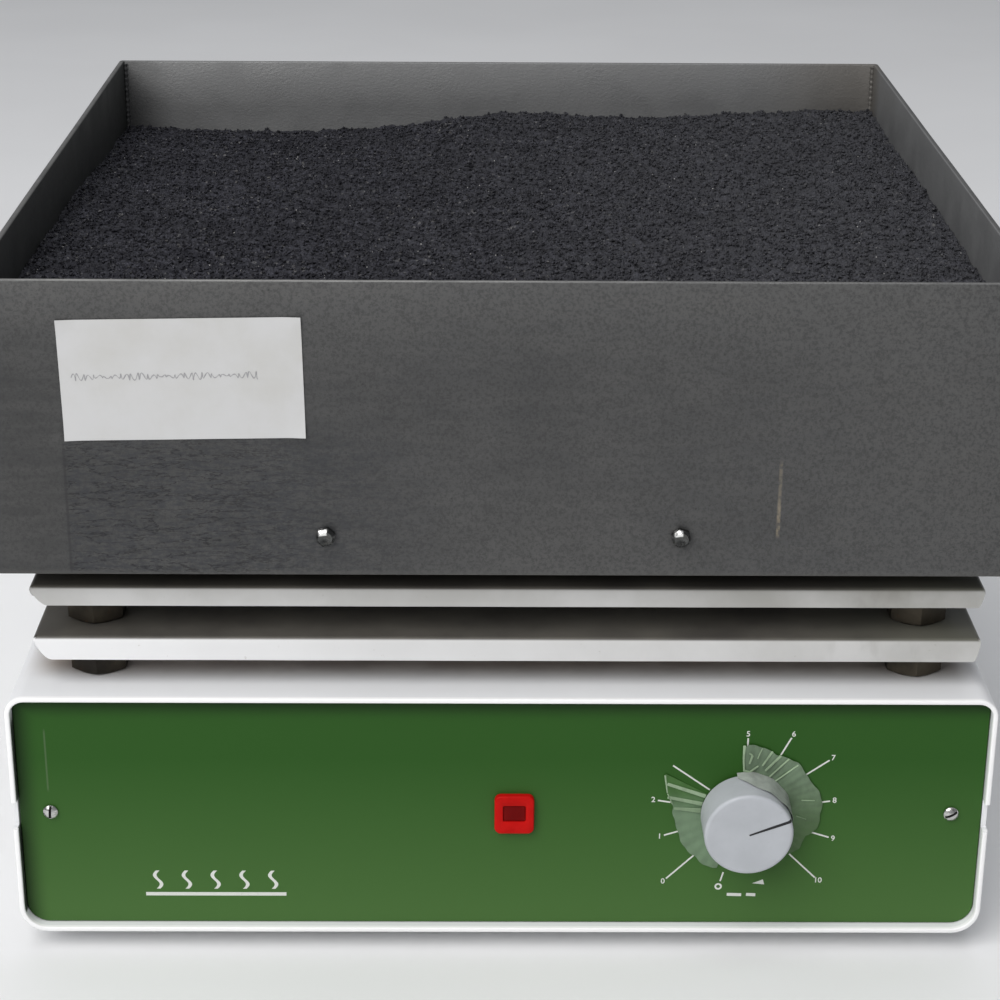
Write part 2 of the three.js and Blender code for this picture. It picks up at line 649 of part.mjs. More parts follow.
function heatShield(name, top, drop) {
  const half = SHIELD_SIZE / 2;
  const flange = alongY(flangeOutline(half, drop), -half, -half + SHIELD_SHEET);
  const flanges = [0, 90, 180, 270].map((turn) => flange.rotate([0, 0, turn]));
  const holes = CORNERS.map(([, side, end]) => {
    return bar("z", TIE_HOLE_RADIUS, -2 * THROUGH, THROUGH, [side * TIE_POSITION, end * TIE_POSITION, 0]);
  });
  holes.push(bar("z", CONDUIT_HOLE_RADIUS, -2 * THROUGH, THROUGH, [-STACK_X, CONDUIT_Y, 0]));
  const body = cut(union([slab(SHIELD_SIZE, -SHIELD_SHEET, 0), ...flanges]), holes);
  return placed(named(name, body, SHIELD_ENAMEL), STACK_X, 0, top);
}

function tieBolts() {
  const underside = HOUSING_TOP - HOUSING_SHEET - GAP;
  return CORNERS.map(([corner, side, end]) => {
    const head = hexBar("z", 13, underside - 5.3, underside);
    const shank = bar("z", TIE_RADIUS, underside - 1, PLATE_BOTTOM + 5);
    const mesh = named(`tie_bolt_${corner}`, head.add(shank), BRIGHT_STEEL);
    return placed(mesh, ...tieSpot(side, end));
  });
}

function spacers() {
  const levels = [
    ["lower", HOUSING_TOP + GAP, LOWER_SHIELD_TOP - SHIELD_SHEET - GAP],
    ["middle", LOWER_SHIELD_TOP + GAP, UPPER_SHIELD_TOP - SHIELD_SHEET - GAP],
    ["upper", UPPER_SHIELD_TOP + GAP, PAN_BOTTOM - GAP],
  ];
  return levels.flatMap(([level, bottom, top]) => CORNERS.map(([corner, side, end]) => {
    const hole = bar("z", TIE_HOLE_RADIUS, bottom - THROUGH, top + THROUGH);
    const body = hexBar("z", SPACER_ACROSS_FLATS, bottom, top).subtract(hole);
    const mesh = named(`${level}_spacer_${corner}`, body, HEATED_STEEL);
    return placed(mesh, ...tieSpot(side, end));
  }));
}

// ---- Heater -----------------------------------------------------------------------------------

function heatingPlate() {
  const holes = CORNERS.map(([, side, end]) => {
    return bar("z", TIE_HOLE_RADIUS, PLATE_BOTTOM - THROUGH, PLATE_BOTTOM + 6, tieSpot(side, end));
  });
  holes.push(bar("z", SHAFT_RADIUS + GAP, PLATE_BOTTOM - THROUGH, PLATE_BOTTOM + 7));
  return named("heating_plate", cut(slab(PAN_SIZE, PLATE_BOTTOM, PLATE_TOP), holes), CAST_PLATE);
}

// A sheathed rod bent into parallel runs, with both ends at the rear.
function heatingElement() {
  const first = -ELEMENT_PITCH * (ELEMENT_RUNS - 1) / 2;
  const bend = ELEMENT_PITCH / 2;
  const points = [[first, 180, ELEMENT_Z]];
  for (let run = 0; run < ELEMENT_RUNS; run += 1) {
    const x = first + run * ELEMENT_PITCH;
    const end = run % 2 === 0 ? -1 : 1;
    if (run > 0) points.push([x, -end * ELEMENT_HALF_LENGTH, ELEMENT_Z]);
    for (const share of [-0.4, 0, 0.4]) points.push([x, share * end * ELEMENT_HALF_LENGTH, ELEMENT_Z]);
    if (run === ELEMENT_RUNS - 1) break;
    points.push([x, end * ELEMENT_HALF_LENGTH, ELEMENT_Z]);
    for (const angle of [45, 90, 135]) {
      const turn = THREE.MathUtils.degToRad(angle);
      const along = end * (ELEMENT_HALF_LENGTH + bend * Math.sin(turn));
      points.push([x + bend - bend * Math.cos(turn), along, ELEMENT_Z]);
    }
  }
  points.push([-first, 180, ELEMENT_Z]);
  return named("heating_element", tube(ELEMENT_RADIUS, points, 84, 6), HEATED_STEEL);
}

function elementClamp() {
  const top = ELEMENT_Z - ELEMENT_RADIUS - GAP;
  const strip = block([-200, 200], [-10, 10], [top - 2.5, top]);
  const stud = bar("z", SHAFT_RADIUS, top - 1, PLATE_BOTTOM + 6);
  return named("element_clamp", strip.add(stud), BRIGHT_STEEL);
}

function insulationBoard() {
  const top = BOARD_BOTTOM + BOARD_THICKNESS;
  const holes = CORNERS.map(([, side, end]) => {
    return bar("z", TIE_HOLE_RADIUS, BOARD_BOTTOM - THROUGH, top + THROUGH, tieSpot(side, end));
  });
  const conduitSpan = [BOARD_BOTTOM - THROUGH, top + THROUGH];
  holes.push(bar("z", CONDUIT_HOLE_RADIUS + 4, ...conduitSpan, [0, CONDUIT_Y, 0]));
  return named("insulation_board", cut(slab(BOARD_SIZE, BOARD_BOTTOM, top), holes), FIBRE_BOARD);
}

function heaterPan() {
  const top = PLATE_BOTTOM - GAP;
  const floor = PAN_BOTTOM + PAN_SHEET;
  const inside = slab(PAN_SIZE - 2 * PAN_SHEET, floor, top + THROUGH);
  const holes = CORNERS.map(([, side, end]) => {
    return bar("z", TIE_HOLE_RADIUS, PAN_BOTTOM - THROUGH, floor + THROUGH, tieSpot(side, end));
  });
  holes.push(bar("z", CONDUIT_HOLE_RADIUS, PAN_BOTTOM - THROUGH, floor + THROUGH, [0, CONDUIT_Y, 0]));
  return named("heater_pan", cut(slab(PAN_SIZE, PAN_BOTTOM, top), [inside, ...holes]), HEATED_STEEL);
}

// ---- Tray and sand ----------------------------------------------------------------------------

function sandTray() {
  const outer = slab(TRAY_SIZE, TRAY_BOTTOM, TRAY_TOP);
  const basin = slab(TRAY_INNER, TRAY_FLOOR, TRAY_TOP + THROUGH);
  const skirt = slab(TRAY_INNER, TRAY_BOTTOM - THROUGH, TRAY_FLOOR_UNDERSIDE);
  const height = TRAY_BOTTOM + TRAY_SCREW_HEIGHT;
  const holes = [-1, 1].map((side) => {
    const centre = [side * TRAY_SCREW_X, 0, height];
    return bar("y", TRAY_HOLE_RADIUS, -TRAY_HALF - THROUGH, TRAY_HALF + THROUGH, centre);
  });
  return named("sand_tray", cut(outer, [basin, skirt, ...holes]), MILL_STEEL);
}

function trayScrews() {
  const seat = TRAY_HALF + GAP;
  const ends = [["front", -1, 0], ["rear", 1, Math.PI]];
  return ends.flatMap(([end, way, turn]) => [-1, 1].map((side) => {
    const head = hexBar("y", TRAY_SCREW_ACROSS_FLATS, -TRAY_SCREW_HEAD_HEIGHT, 0);
    const body = head.add(bar("y", TRAY_HOLE_RADIUS - GAP, -1, 9.7));
    const mesh = named(`tray_screw_${end}_${side < 0 ? "left" : "right"}`, body, BRIGHT_STEEL);
    return placed(mesh, side * TRAY_SCREW_X, way * seat, TRAY_BOTTOM + TRAY_SCREW_HEIGHT, turn);
  }));
}

// Height of the sand, where u and v run from -1 to 1 to the right and to the rear.
function sandHeight(u, v) {
  const hill = (height, atU, atV, spreadU, spreadV) => {
    return height * Math.exp(-((u - atU) ** 2) / spreadU - ((v - atV) ** 2) / spreadV);
  };
  const rearDip = hill(-9, -0.75, 1.1, 0.5, 0.45);
  const rearMound = hill(5, 0.05, 1, 0.03, 0.1);
  const rightBank = hill(5, 1, 0, 0.35, 8);
  const leftBank = hill(6, -1, -0.35, 0.12, 0.6);
  const hollow = hill(-4, 0, -0.3, 0.4, 0.4);
  const ripple = SAND_RIPPLE * Math.sin(7 * u + 2 * v) * Math.cos(6 * v - u);
  return TRAY_TOP - SAND_DEPTH_BELOW_RIM + rearDip + rearMound + rightBank + leftBank + hollow + ripple;
}

function sandFill() {
  const cells = SAND_CELLS;
  const half = TRAY_INNER / 2 - GAP;
  const geometry = new THREE.BoxGeometry(2 * half, 2 * half, 1, cells, cells, 1);
  const places = geometry.attributes.position;
  for (let i = 0; i < places.count; i += 1) {
    const onTop = places.getZ(i) > 0;
    const surface = sandHeight(places.getX(i) / half, places.getY(i) / half);
    places.setZ(i, onTop ? surface : TRAY_FLOOR + GAP);
  }
  return named("sand_fill", solid(geometry), BLACK_SAND);
}

function paperLabel() {
  const width = [-LABEL_WIDTH / 2, LABEL_WIDTH / 2];
  const height = [-LABEL_HEIGHT / 2, LABEL_HEIGHT / 2];
  const mesh = named("paper_label", block(width, [-LABEL_THICKNESS, 0], height), PAPER);
  mesh.position.set(LABEL_X, -TRAY_HALF - GAP, LABEL_Z);
  mesh.rotation.y = THREE.MathUtils.degToRad(-LABEL_TILT);
  return mesh;
}

// ---- Assembly ---------------------------------------------------------------------------------

const sandBath = new THREE.Group();

const housing = new THREE.Group();
housing.add(housingSleeve(), frontPanel(), rearPanel(), basePan(), ...feet(), ...panelScrews());
housing.add(...pilotLamp(), ...regulator(), powerInlet(), terminalBlock(), earthStud(), ...leads());

const shieldStack = new THREE.Group();
shieldStack.add(heatShield("lower_shield", LOWER_SHIELD_TOP, LOWER_SHIELD_FLANGE));
shieldStack.add(heatShield("upper_shield", UPPER_SHIELD_TOP, UPPER_SHIELD_FLANGE));
shieldStack.add(leadConduit(), ...tieBolts(), ...spacers());

const heater = new THREE.Group();
heater.add(heatingPlate(), heatingElement(), elementClamp(), insulationBoard(), heaterPan());

const tray = new THREE.Group();
tray.add(sandTray(), sandFill(), ...trayScrews(), paperLabel());

sandBath.add(housing, control(), shieldStack, heater, tray);

// The origin is on the bench, midway between the knob's face and the rear-most screw heads.
sandBath.position.y = -(KNOB_FACE + REAR_MOST) / 2;

export default sandBath;
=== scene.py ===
"""Looks of a laboratory sand bath hotplate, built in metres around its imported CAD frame."""

import json
import math
import random

import bmesh
import bpy
from mathutils import Matrix, Vector, noise


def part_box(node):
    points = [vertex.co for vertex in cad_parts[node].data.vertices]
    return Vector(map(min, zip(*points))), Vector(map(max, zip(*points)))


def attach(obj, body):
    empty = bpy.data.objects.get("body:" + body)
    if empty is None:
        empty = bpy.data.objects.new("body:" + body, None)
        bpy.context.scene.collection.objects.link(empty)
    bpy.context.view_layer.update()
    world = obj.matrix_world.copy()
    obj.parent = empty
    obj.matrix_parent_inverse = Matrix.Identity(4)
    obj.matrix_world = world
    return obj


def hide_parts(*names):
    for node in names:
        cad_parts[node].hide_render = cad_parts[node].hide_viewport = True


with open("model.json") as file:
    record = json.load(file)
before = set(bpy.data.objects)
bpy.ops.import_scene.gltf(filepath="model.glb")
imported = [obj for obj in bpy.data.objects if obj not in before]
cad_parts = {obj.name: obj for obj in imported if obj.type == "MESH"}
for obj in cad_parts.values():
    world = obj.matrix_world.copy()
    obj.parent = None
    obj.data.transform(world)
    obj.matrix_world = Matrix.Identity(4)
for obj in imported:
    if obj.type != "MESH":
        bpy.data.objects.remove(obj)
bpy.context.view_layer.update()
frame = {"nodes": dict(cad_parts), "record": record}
MM = 0.001

STAND = "stand"
CONTROL = "control"
CORNERS = ("front_left", "front_right", "rear_left", "rear_right")


# ---- Materials --------------------------------------------------------------------------------

class Look:
    """A procedural material: a Principled surface and short ways to add patterns to it."""

    def __init__(self, name, color, roughness, metallic=0.0):
        self.material = bpy.data.materials.new(name)
        self.material.use_nodes = True
        tree = self.material.node_tree
        self.nodes = tree.nodes
        self.links = tree.links
        self.surface = tree.nodes["Principled BSDF"]
        self.fix("Base Color", (*color, 1))
        self.fix("Roughness", roughness)
        self.fix("Metallic", metallic)
        self.place = self.nodes.new("ShaderNodeTexCoord").outputs["Object"]
        self.color = color
        self.normal = None

    def fix(self, socket, value):
        self.surface.inputs[socket].default_value = value

    def drive(self, socket, output):
        self.links.new(output, self.surface.inputs[socket])

    def feed(self, socket, value):
        """Gives a socket a number, a color or another node's output."""
        if isinstance(value, (int, float)):
            socket.default_value = value
        elif isinstance(value, tuple):
            socket.default_value = (*value, 1)
        else:
            self.links.new(value, socket)

    def stretched(self, stretch):
        if stretch is None:
            return self.place
        mapping = self.nodes.new("ShaderNodeMapping")
        mapping.inputs["Scale"].default_value = stretch
        self.links.new(self.place, mapping.inputs["Vector"])
        return mapping.outputs["Vector"]

    def noise(self, scale, detail=4, stretch=None, rough=0.55):
        node = self.nodes.new("ShaderNodeTexNoise")
        node.inputs["Scale"].default_value = scale
        node.inputs["Detail"].default_value = detail
        node.inputs["Roughness"].default_value = rough
        self.links.new(self.stretched(stretch), node.inputs["Vector"])
        return node.outputs["Fac"]

    def cells(self, scale, output="Distance", stretch=None):
        node = self.nodes.new("ShaderNodeTexVoronoi")
        node.inputs["Scale"].default_value = scale
        self.links.new(self.stretched(stretch), node.inputs["Vector"])
        return node.outputs[output]

    def span(self, value, low, high, to_low=0.0, to_high=1.0, smooth=True):
        node = self.nodes.new("ShaderNodeMapRange")
        node.interpolation_type = "SMOOTHSTEP" if smooth else "LINEAR"
        node.inputs["From Min"].default_value = low
        node.inputs["From Max"].default_value = high
        node.inputs["To Min"].default_value = to_low
        node.inputs["To Max"].default_value = to_high
        self.links.new(value, node.inputs["Value"])
        return node.outputs["Result"]

    def maths(self, operation, a, b):
        node = self.nodes.new("ShaderNodeMath")
        node.operation = operation
        for socket, value in zip(node.inputs, (a, b)):
            self.feed(socket, value)
        return node.outputs["Value"]

    def along(self, axis):
        node = self.nodes.new("ShaderNodeSeparateXYZ")
        self.links.new(self.place, node.inputs["Vector"])
        return node.outputs[axis]

    def ramp(self, axis, low, high, to_low=0.0, to_high=1.0, smooth=True):
        """A change along an axis, between low and high."""
        return self.span(self.along(axis), low, high, to_low, to_high, smooth)

    def patches(self, scale, detail, low, high, to_low=0.0, to_high=1.0):
        """Noise, with its values from low to high spread over to_low to to_high."""
        return self.span(self.noise(scale, detail), low, high, to_low, to_high)

    def roughen(self, scale, detail, low, high):
        """Lets the roughness wander between low and high."""
        self.drive("Roughness", self.patches(scale, detail, 0.3, 0.7, low, high))

    def times(self, a, b):
        return self.maths("MULTIPLY", a, b)

    def greater(self, a, b):
        return self.maths("MAXIMUM", a, b)

    def near(self, axis, middle, half, soft):
        """1 within half of middle along an axis, falling to 0 over soft."""
        offset = self.maths("ABSOLUTE", self.maths("SUBTRACT", self.along(axis), middle), 0)
        return self.span(offset, half, half + soft, 1.0, 0.0)

    def mix(self, share, a, b):
        node = self.nodes.new("ShaderNodeMix")
        node.data_type = "RGBA"
        factor, first, second = node.inputs[0], node.inputs[6], node.inputs[7]
        for socket, value in ((factor, share), (first, a), (second, b)):
            self.feed(socket, value)
        return node.outputs[2]

    def paint(self, share, a, b):
        """Colors the surface with a, turning to b as share goes to 1."""
        self.color = self.mix(share, a, b)
        self.drive("Base Color", self.color)

    def coat(self, share, color):
        """Lays a color over the surface as it is so far."""
        self.paint(share, self.color, color)

    def bump(self, height, distance, strength=1.0):
        node = self.nodes.new("ShaderNodeBump")
        node.inputs["Strength"].default_value = strength
        node.inputs["Distance"].default_value = distance
        self.links.new(height, node.inputs["Height"])
        if self.normal is not None:
            self.links.new(self.normal, node.inputs["Normal"])
        self.normal = node.outputs["Normal"]
        self.drive("Normal", self.normal)


def shade(color, factor):
    return tuple(channel * factor for channel in color)


def enamel(name, color, gloss=0.3, grime=(0.3, 0.27, 0.22), grime_share=0.25):
    look = Look(name, color, gloss)
    cloud = look.patches(7, 5, 0.35, 0.7)
    look.paint(cloud, shade(color, 0.97), shade(color, 1.02))
    specks = look.patches(330, 3, 0.69, 0.76, 0.0, grime_share)
    look.coat(specks, grime)
    look.drive("Roughness", look.patches(9, 2, 0.2, 0.8, gloss - 0.03, gloss + 0.06))
    look.bump(look.noise(520, 2), 0.00004, 0.5)
    look.fix("Coat Weight", 0.15)
    look.fix("Coat Roughness", 0.12)
    return look


def panel_enamel():
    """Matt green, painted paler and yellower low down and darker high up as painted light, and darkened
    along its top and left edges as painted shade.
    """
    look = enamel("green_enamel", (0.040, 0.102, 0.023), 0.45, (0.09, 0.12, 0.07), 0.3)
    # Painted light: the green is paler and yellower low down and darker high up.
    height = look.ramp("Z", 0.02, 0.1, smooth=False)
    height_tone = look.mix(height, (0.064, 0.148, 0.037), (0.018, 0.079, 0.0085))
    look.paint(0.2, height_tone, look.color)
    scratch = look.times(look.near("X", -0.2095, 0.0002, 0.0004), look.near("Z", 0.0985, 0.014, 0.003))
    look.coat(look.times(scratch, 0.28), (0.16, 0.2, 0.13))
    # Painted shade: a dark band along the top and left edges of the panel, under the lip.
    edge = look.greater(look.ramp("Z", 0.119, 0.13, 0.0, 0.8), look.ramp("X", -0.224, -0.212, 0.75, 0.0))
    look.coat(edge, (0.006, 0.018, 0.004))
    look.fix("Coat Weight", 0.0)
    look.fix("Specular IOR Level", 0.15)
    return look.material


def sleeve_enamel(centre_y, top):
    """White, brown on top under the heat shields as heat stain and painted shade, with the front lip
    painted paler as painted light and the inner left edge painted dark as painted shade.
    """
    look = enamel("sleeve_enamel", (0.80, 0.81, 0.825), 0.3, (0.5, 0.46, 0.4), 0.1)
    # Brown on top under the shields: a heat stain that also stands in as painted shade.
    heat_brown_and_shade = look.times(look.near("Y", centre_y, 0.187, 0.022), look.near("X", 0.0, 0.205, 0.02))
    heat_brown_and_shade = look.times(heat_brown_and_shade, look.ramp("Z", top - 0.0015, top - 0.0005, 0.0, 0.85))
    brown_stain_and_shade = look.mix(look.patches(40, 5, 0.3, 0.7), (0.26, 0.205, 0.165), (0.39, 0.335, 0.29))
    look.coat(heat_brown_and_shade, brown_stain_and_shade)
    # Painted light: the front lip is coloured paler, as if catching light.
    look.coat(look.near("Y", centre_y - 0.2255, 0.0022, 0.0006), (0.92, 0.92, 0.925))
    # Painted shade: the inner left wall of the hem is coloured dark green-black.
    inside = look.times(look.near("X", -0.2236, 0.0004, 0.0003), look.near("Z", 0.0695, 0.048, 0.006))
    inside = look.times(inside, look.near("Y", centre_y - 0.2195, 0.004, 0.0008))
    look.coat(look.times(inside, 0.93), (0.01, 0.022, 0.008))
    return look.material


def shield_enamel(tops):
    """White faces that grey towards the right as heat tint and painted shade, the upper one shaded further
    under the tray, and brown-grey tops from heat, dust and painted shade.
    """
    look = enamel("shield_enamel", (0.80, 0.805, 0.815), 0.4, (0.33, 0.29, 0.23), 0.3)
    # Greyer towards the right, partly heat tint and partly painted shade; the upper shield is darkened
    # further as painted shade under the tray.
    heat_tint_and_shade = look.ramp("X", -0.2, 0.23, 0.0, 0.8, smooth=False)
    darker = look.greater(look.ramp("X", -0.22, 0.0, 0.42, 0.74), look.ramp("X", 0.0, 0.2, 0.7, 1.0))
    heat_tint_and_shade = look.greater(heat_tint_and_shade, look.times(darker, look.ramp("Z", tops[0], tops[0] + 0.008)))
    look.coat(look.times(heat_tint_and_shade, look.patches(20, 5, 0.3, 0.7, 0.7, 1.0)), (0.30, 0.295, 0.27))
    smear = look.span(look.noise(110, 3, (1, 1, 0.4)), 0.42, 0.7, 0.0, 0.26)
    look.coat(look.times(smear, look.near("X", 0.172, 0.012, 0.02)), (0.2, 0.19, 0.17))
    # The tops are darkened by dust and as painted shade, and painted lighter towards the right end.
    dust = look.mix(look.patches(24, 5, 0.3, 0.7), (0.074, 0.069, 0.062), (0.12, 0.113, 0.098))
    dust = look.mix(look.ramp("X", 0.12, 0.22, 0.0, 0.7), dust, (0.135, 0.138, 0.11))
    look.coat(look.greater(*[look.near("Z", top, 0.0007, 0.0009) for top in tops]), dust)
    look.fix("Coat Weight", 0.05)
    return look.material


def mill_steel(centre_y, rim_z, skirt_z):
    """Dark rolled steel: clouded and speckled, paler inside, with a rough patch and a faint drip; painted
    darker to the left and lighter to the right, with painted shade on the left inner wall and painted
    highlights on the rim and the bottom edge.
    """
    look = Look("tray_steel", (0.07, 0.071, 0.071), 0.5, 0.5)
    cloud = look.patches(8, 5, 0.3, 0.72)
    look.paint(cloud, (0.062, 0.063, 0.064), (0.084, 0.084, 0.083))
    # Painted shade and light: darker to the left, lighter to the right.
    look.coat(look.ramp("X", -0.22, 0.0, 0.65, 0.0), (0.042, 0.043, 0.043))
    look.coat(look.ramp("X", 0.0, 0.2, 0.0, 0.55), (0.105, 0.106, 0.105))
    look.coat(look.ramp("Z", rim_z - 0.05, rim_z - 0.004, 0.0, 0.5), (0.115, 0.116, 0.115))
    grain = look.span(look.noise(130, 5, (0.3, 0.3, 1.6)), 0.3, 0.72, 0.0, 0.35)
    look.coat(grain, (0.104, 0.103, 0.1))
    speckle = look.span(look.noise(700, 4, rough=0.75), 0.42, 0.64, 0.0, 0.6)
    look.coat(speckle, (0.04, 0.04, 0.041))
    front = look.near("Y", centre_y - 0.229, 0.006, 0.002)
    band = look.times(front, look.ramp("Z", 0.245, 0.275, 1.0, 0.0))
    rough_patch = look.times(band, look.ramp("X", -0.11, 0.0, 1.0, 0.0))
    rough_patch = look.times(rough_patch, look.ramp("X", -0.193, -0.188))
    crackle = look.span(look.noise(470, 4, (0.5, 1, 1.6), 0.7), 0.4, 0.62, 0.0, 0.6)
    look.coat(look.times(rough_patch, crackle), (0.033, 0.036, 0.043))
    ridge = look.maths("ABSOLUTE", look.maths("SUBTRACT", look.noise(170, 4, (0.3, 1, 1.6), 0.6), 0.5), 0)
    cracks = look.times(look.span(ridge, 0.006, 0.022, 0.8, 0.0), look.ramp("X", -0.14, -0.04, 1.0, 0.0))
    look.coat(look.times(rough_patch, cracks), (0.016, 0.016, 0.018))
    edge = look.times(band, look.near("X", -0.1905, 0.0002, 0.0007))
    look.coat(look.times(edge, 0.5), (0.028, 0.028, 0.03))
    pits = look.times(look.span(look.cells(240), 0.05, 0.14, 0.6, 0.0), look.patches(30, 3, 0.5, 0.62))
    look.coat(pits, (0.028, 0.028, 0.028))
    drip = look.times(look.near("X", 0.1205, 0.0003, 0.0008), look.near("Z", 0.232, 0.015, 0.004))
    drip = look.times(drip, look.patches(420, 4, 0.36, 0.6, 0.15, 0.8))
    drip = look.times(drip, look.ramp("Z", 0.222, 0.236, 1.0, 0.45))
    look.coat(look.times(drip, front), (0.3, 0.255, 0.185))
    inner_wall = look.times(look.near("X", 0.0, 0.2243, 0.0005), look.near("Y", centre_y, 0.2243, 0.0005))
    # Paler inner walls, less so on the left wall, which is then painted dark as painted shade.
    paler = look.times(inner_wall, look.ramp("X", -0.2235, -0.19, 0.3, 0.85))
    look.coat(paler, (0.205, 0.208, 0.21))
    shaded = look.times(inner_wall, look.ramp("X", -0.2238, -0.2232, 0.7, 0.0))
    look.coat(shaded, (0.02, 0.023, 0.02))
    scorched = look.times(look.ramp("X", 0.14, 0.22), look.ramp("Y", 0.2, 0.222))
    look.coat(look.times(scorched, 0.55), (0.12, 0.105, 0.085))
    # A rubbed rim with a painted highlight, brightest at the front left.
    rim_rub_and_highlight = look.ramp("Z", rim_z - 0.0005, rim_z - 0.0001)
    rim_rub_and_highlight = look.times(rim_rub_and_highlight, look.ramp("X", -0.1, 0.2, 0.9, 0.3))
    rim_rub_and_highlight = look.times(rim_rub_and_highlight, look.patches(60, 5, 0.3, 0.6, 0.5, 1.0))
    rim_rub_and_highlight = look.times(rim_rub_and_highlight, look.ramp("Y", -0.223, -0.219, 1.0, 0.25))
    look.coat(rim_rub_and_highlight, (0.43, 0.425, 0.41))
    # Painted highlight: the bottom edge of the skirt is coloured paler.
    lower = look.ramp("Z", skirt_z, skirt_z + 0.003, 0.3, 0.0)
    look.coat(lower, (0.12, 0.115, 0.105))
    look.roughen(48, 6, 0.44, 0.62)
    look.bump(look.noise(420, 5, (1, 1, 1.5), 0.75), 0.0003, 0.7)
    look.bump(look.noise(75, 3, (1, 1, 0.3)), 0.0002, 0.3)
    return look.material


def bright_steel(name="screw_steel", color=(0.55, 0.55, 0.54), roughness=0.24):
    look = Look(name, color, roughness, 1.0)
    soil = look.patches(700, 5, 0.5, 0.75, 0.0, 0.6)
    look.paint(soil, color, (0.16, 0.14, 0.11))
    look.roughen(900, 3, roughness - 0.06, roughness + 0.16)
    look.bump(look.noise(2500, 2), 0.00002, 0.5)
    return look.material


def bolt_steel(spots):
    """Dark oiled steel, with a near-white painted highlight on the upper left of each screw head."""
    look = Look("bolt_steel", (0.11, 0.113, 0.11), 0.26, 1.0)
    soil = look.patches(700, 5, 0.5, 0.75, 0.0, 0.6)
    look.paint(soil, (0.09, 0.092, 0.09), (0.05, 0.045, 0.04))
    for spot in spots:
        # Painted highlight: a near-white spot on the upper left of each head.
        across = look.near("X", spot.x - 0.0013, 0.0014, 0.0009)
        painted_glint = look.times(across, look.near("Z", spot.z + 0.0026, 0.0008, 0.0009))
        look.coat(painted_glint, (0.95, 0.95, 0.93))
    look.roughen(900, 3, 0.22, 0.4)
    look.bump(look.noise(2500, 2), 0.00002, 0.5)
    return look.material


def heated_steel(name="heated_steel", dark=(0.024, 0.02, 0.015), light=(0.085, 0.071, 0.05)):
    look = Look(name, light, 0.5, 0.6)
    look.paint(look.patches(35, 5, 0.32, 0.7), dark, light)
    rust = look.patches(260, 6, 0.58, 0.75, 0.0, 0.5)
    look.coat(rust, (0.08, 0.045, 0.025))
    look.roughen(120, 4, 0.38, 0.65)
    look.bump(look.noise(600, 5), 0.00008, 0.7)
    return look.material


def cast_iron():
    look = Look("cast_plate", (0.045, 0.042, 0.04), 0.8, 0.4)
    look.paint(look.patches(40, 6, 0.3, 0.7), (0.03, 0.028, 0.027), (0.075, 0.062, 0.05))
    look.roughen(150, 4, 0.65, 0.9)
    look.bump(look.noise(420, 6), 0.00025, 0.8)
    return look.material


def moulded(name, color, roughness, grain=900, soil=(0.2, 0.19, 0.17), soil_share=0.2):
    look = Look(name, color, roughness)
    cloud = look.patches(60, 4, 0.3, 0.7)
    look.paint(cloud, shade(color, 0.95), shade(color, 1.04))
    dust = look.patches(420, 5, 0.6, 0.75, 0.0, soil_share)
    look.coat(dust, soil)
    look.roughen(180, 4, roughness - 0.06, roughness + 0.1)
    look.bump(look.noise(grain, 3), 0.00003, 0.5)
    return look.material


def red_lens(name, dark, light, roughness):
    look = Look(name, light, roughness)
    look.paint(look.patches(130, 3, 0.3, 0.7), dark, light)
    look.roughen(300, 4, roughness - 0.04, roughness + 0.08)
    look.bump(look.noise(1500, 2), 0.00002, 0.4)
    look.fix("Specular IOR Level", 0.06)
    return look.material


def black_sand():
    look = Look("black_sand", (0.02, 0.02, 0.022), 0.7)
    split = look.nodes.new("ShaderNodeSeparateColor")
    look.links.new(look.cells(700, "Color"), split.inputs["Color"])
    tone = look.span(split.outputs[0], 0.0, 1.0, smooth=False)
    look.paint(tone, (0.0055, 0.0056, 0.0078), (0.041, 0.0415, 0.053))
    glint = look.span(split.outputs[1], 0.96, 0.99, 0.0, 0.6)
    look.coat(glint, (0.16, 0.157, 0.155))
    drift = look.patches(22, 5, 0.35, 0.7, 0.0, 0.3)
    look.coat(drift, (0.022, 0.022, 0.026))
    streaks = look.span(look.noise(95, 4, (0.4, 1, 1)), 0.46, 0.64, 0.0, 0.6)
    look.coat(streaks, (0.009, 0.009, 0.013))
    # Painted light: the sand is paler towards the right, and darker at the left where the left wall shades
    # it.
    look.coat(look.ramp("X", -0.15, 0.2, 0.0, 0.4), (0.058, 0.059, 0.064))
    look.drive("Roughness", look.span(split.outputs[2], 0.0, 1.0, 0.45, 0.9, smooth=False))
    look.bump(look.cells(700), 0.001, 0.9)
    look.bump(look.noise(1500, 4), 0.0003, 0.7)
    look.fix("Specular IOR Level", 0.25)
    return look.material


def paper():
    look = Look("label_paper", (0.55, 0.55, 0.54), 0.85)
    look.paint(look.patches(35, 5, 0.35, 0.75), (0.55, 0.553, 0.556), (0.508, 0.507, 0.495))
    look.roughen(400, 3, 0.78, 0.92)
    look.bump(look.noise(900, 6, rough=0.7), 0.00005, 0.6)
    return look.material


def fibre_board():
    look = Look("fibre_board", (0.68, 0.64, 0.55), 0.95)
    look.paint(look.patches(90, 6, 0.3, 0.7), (0.6, 0.55, 0.46), (0.75, 0.72, 0.64))
    look.bump(look.noise(500, 7, (1, 1, 4)), 0.0004, 0.9)
    return look.material


def braided_sleeve():
    look = Look("lead_sleeve", (0.55, 0.46, 0.32), 0.8)
    weave = look.cells(1600, "Distance", stretch=(1, 0.5, 1))
    look.paint(look.span(weave, 0.1, 0.6), (0.62, 0.53, 0.38), (0.36, 0.29, 0.19))
    look.bump(weave, 0.0003, 0.8)
    return look.material


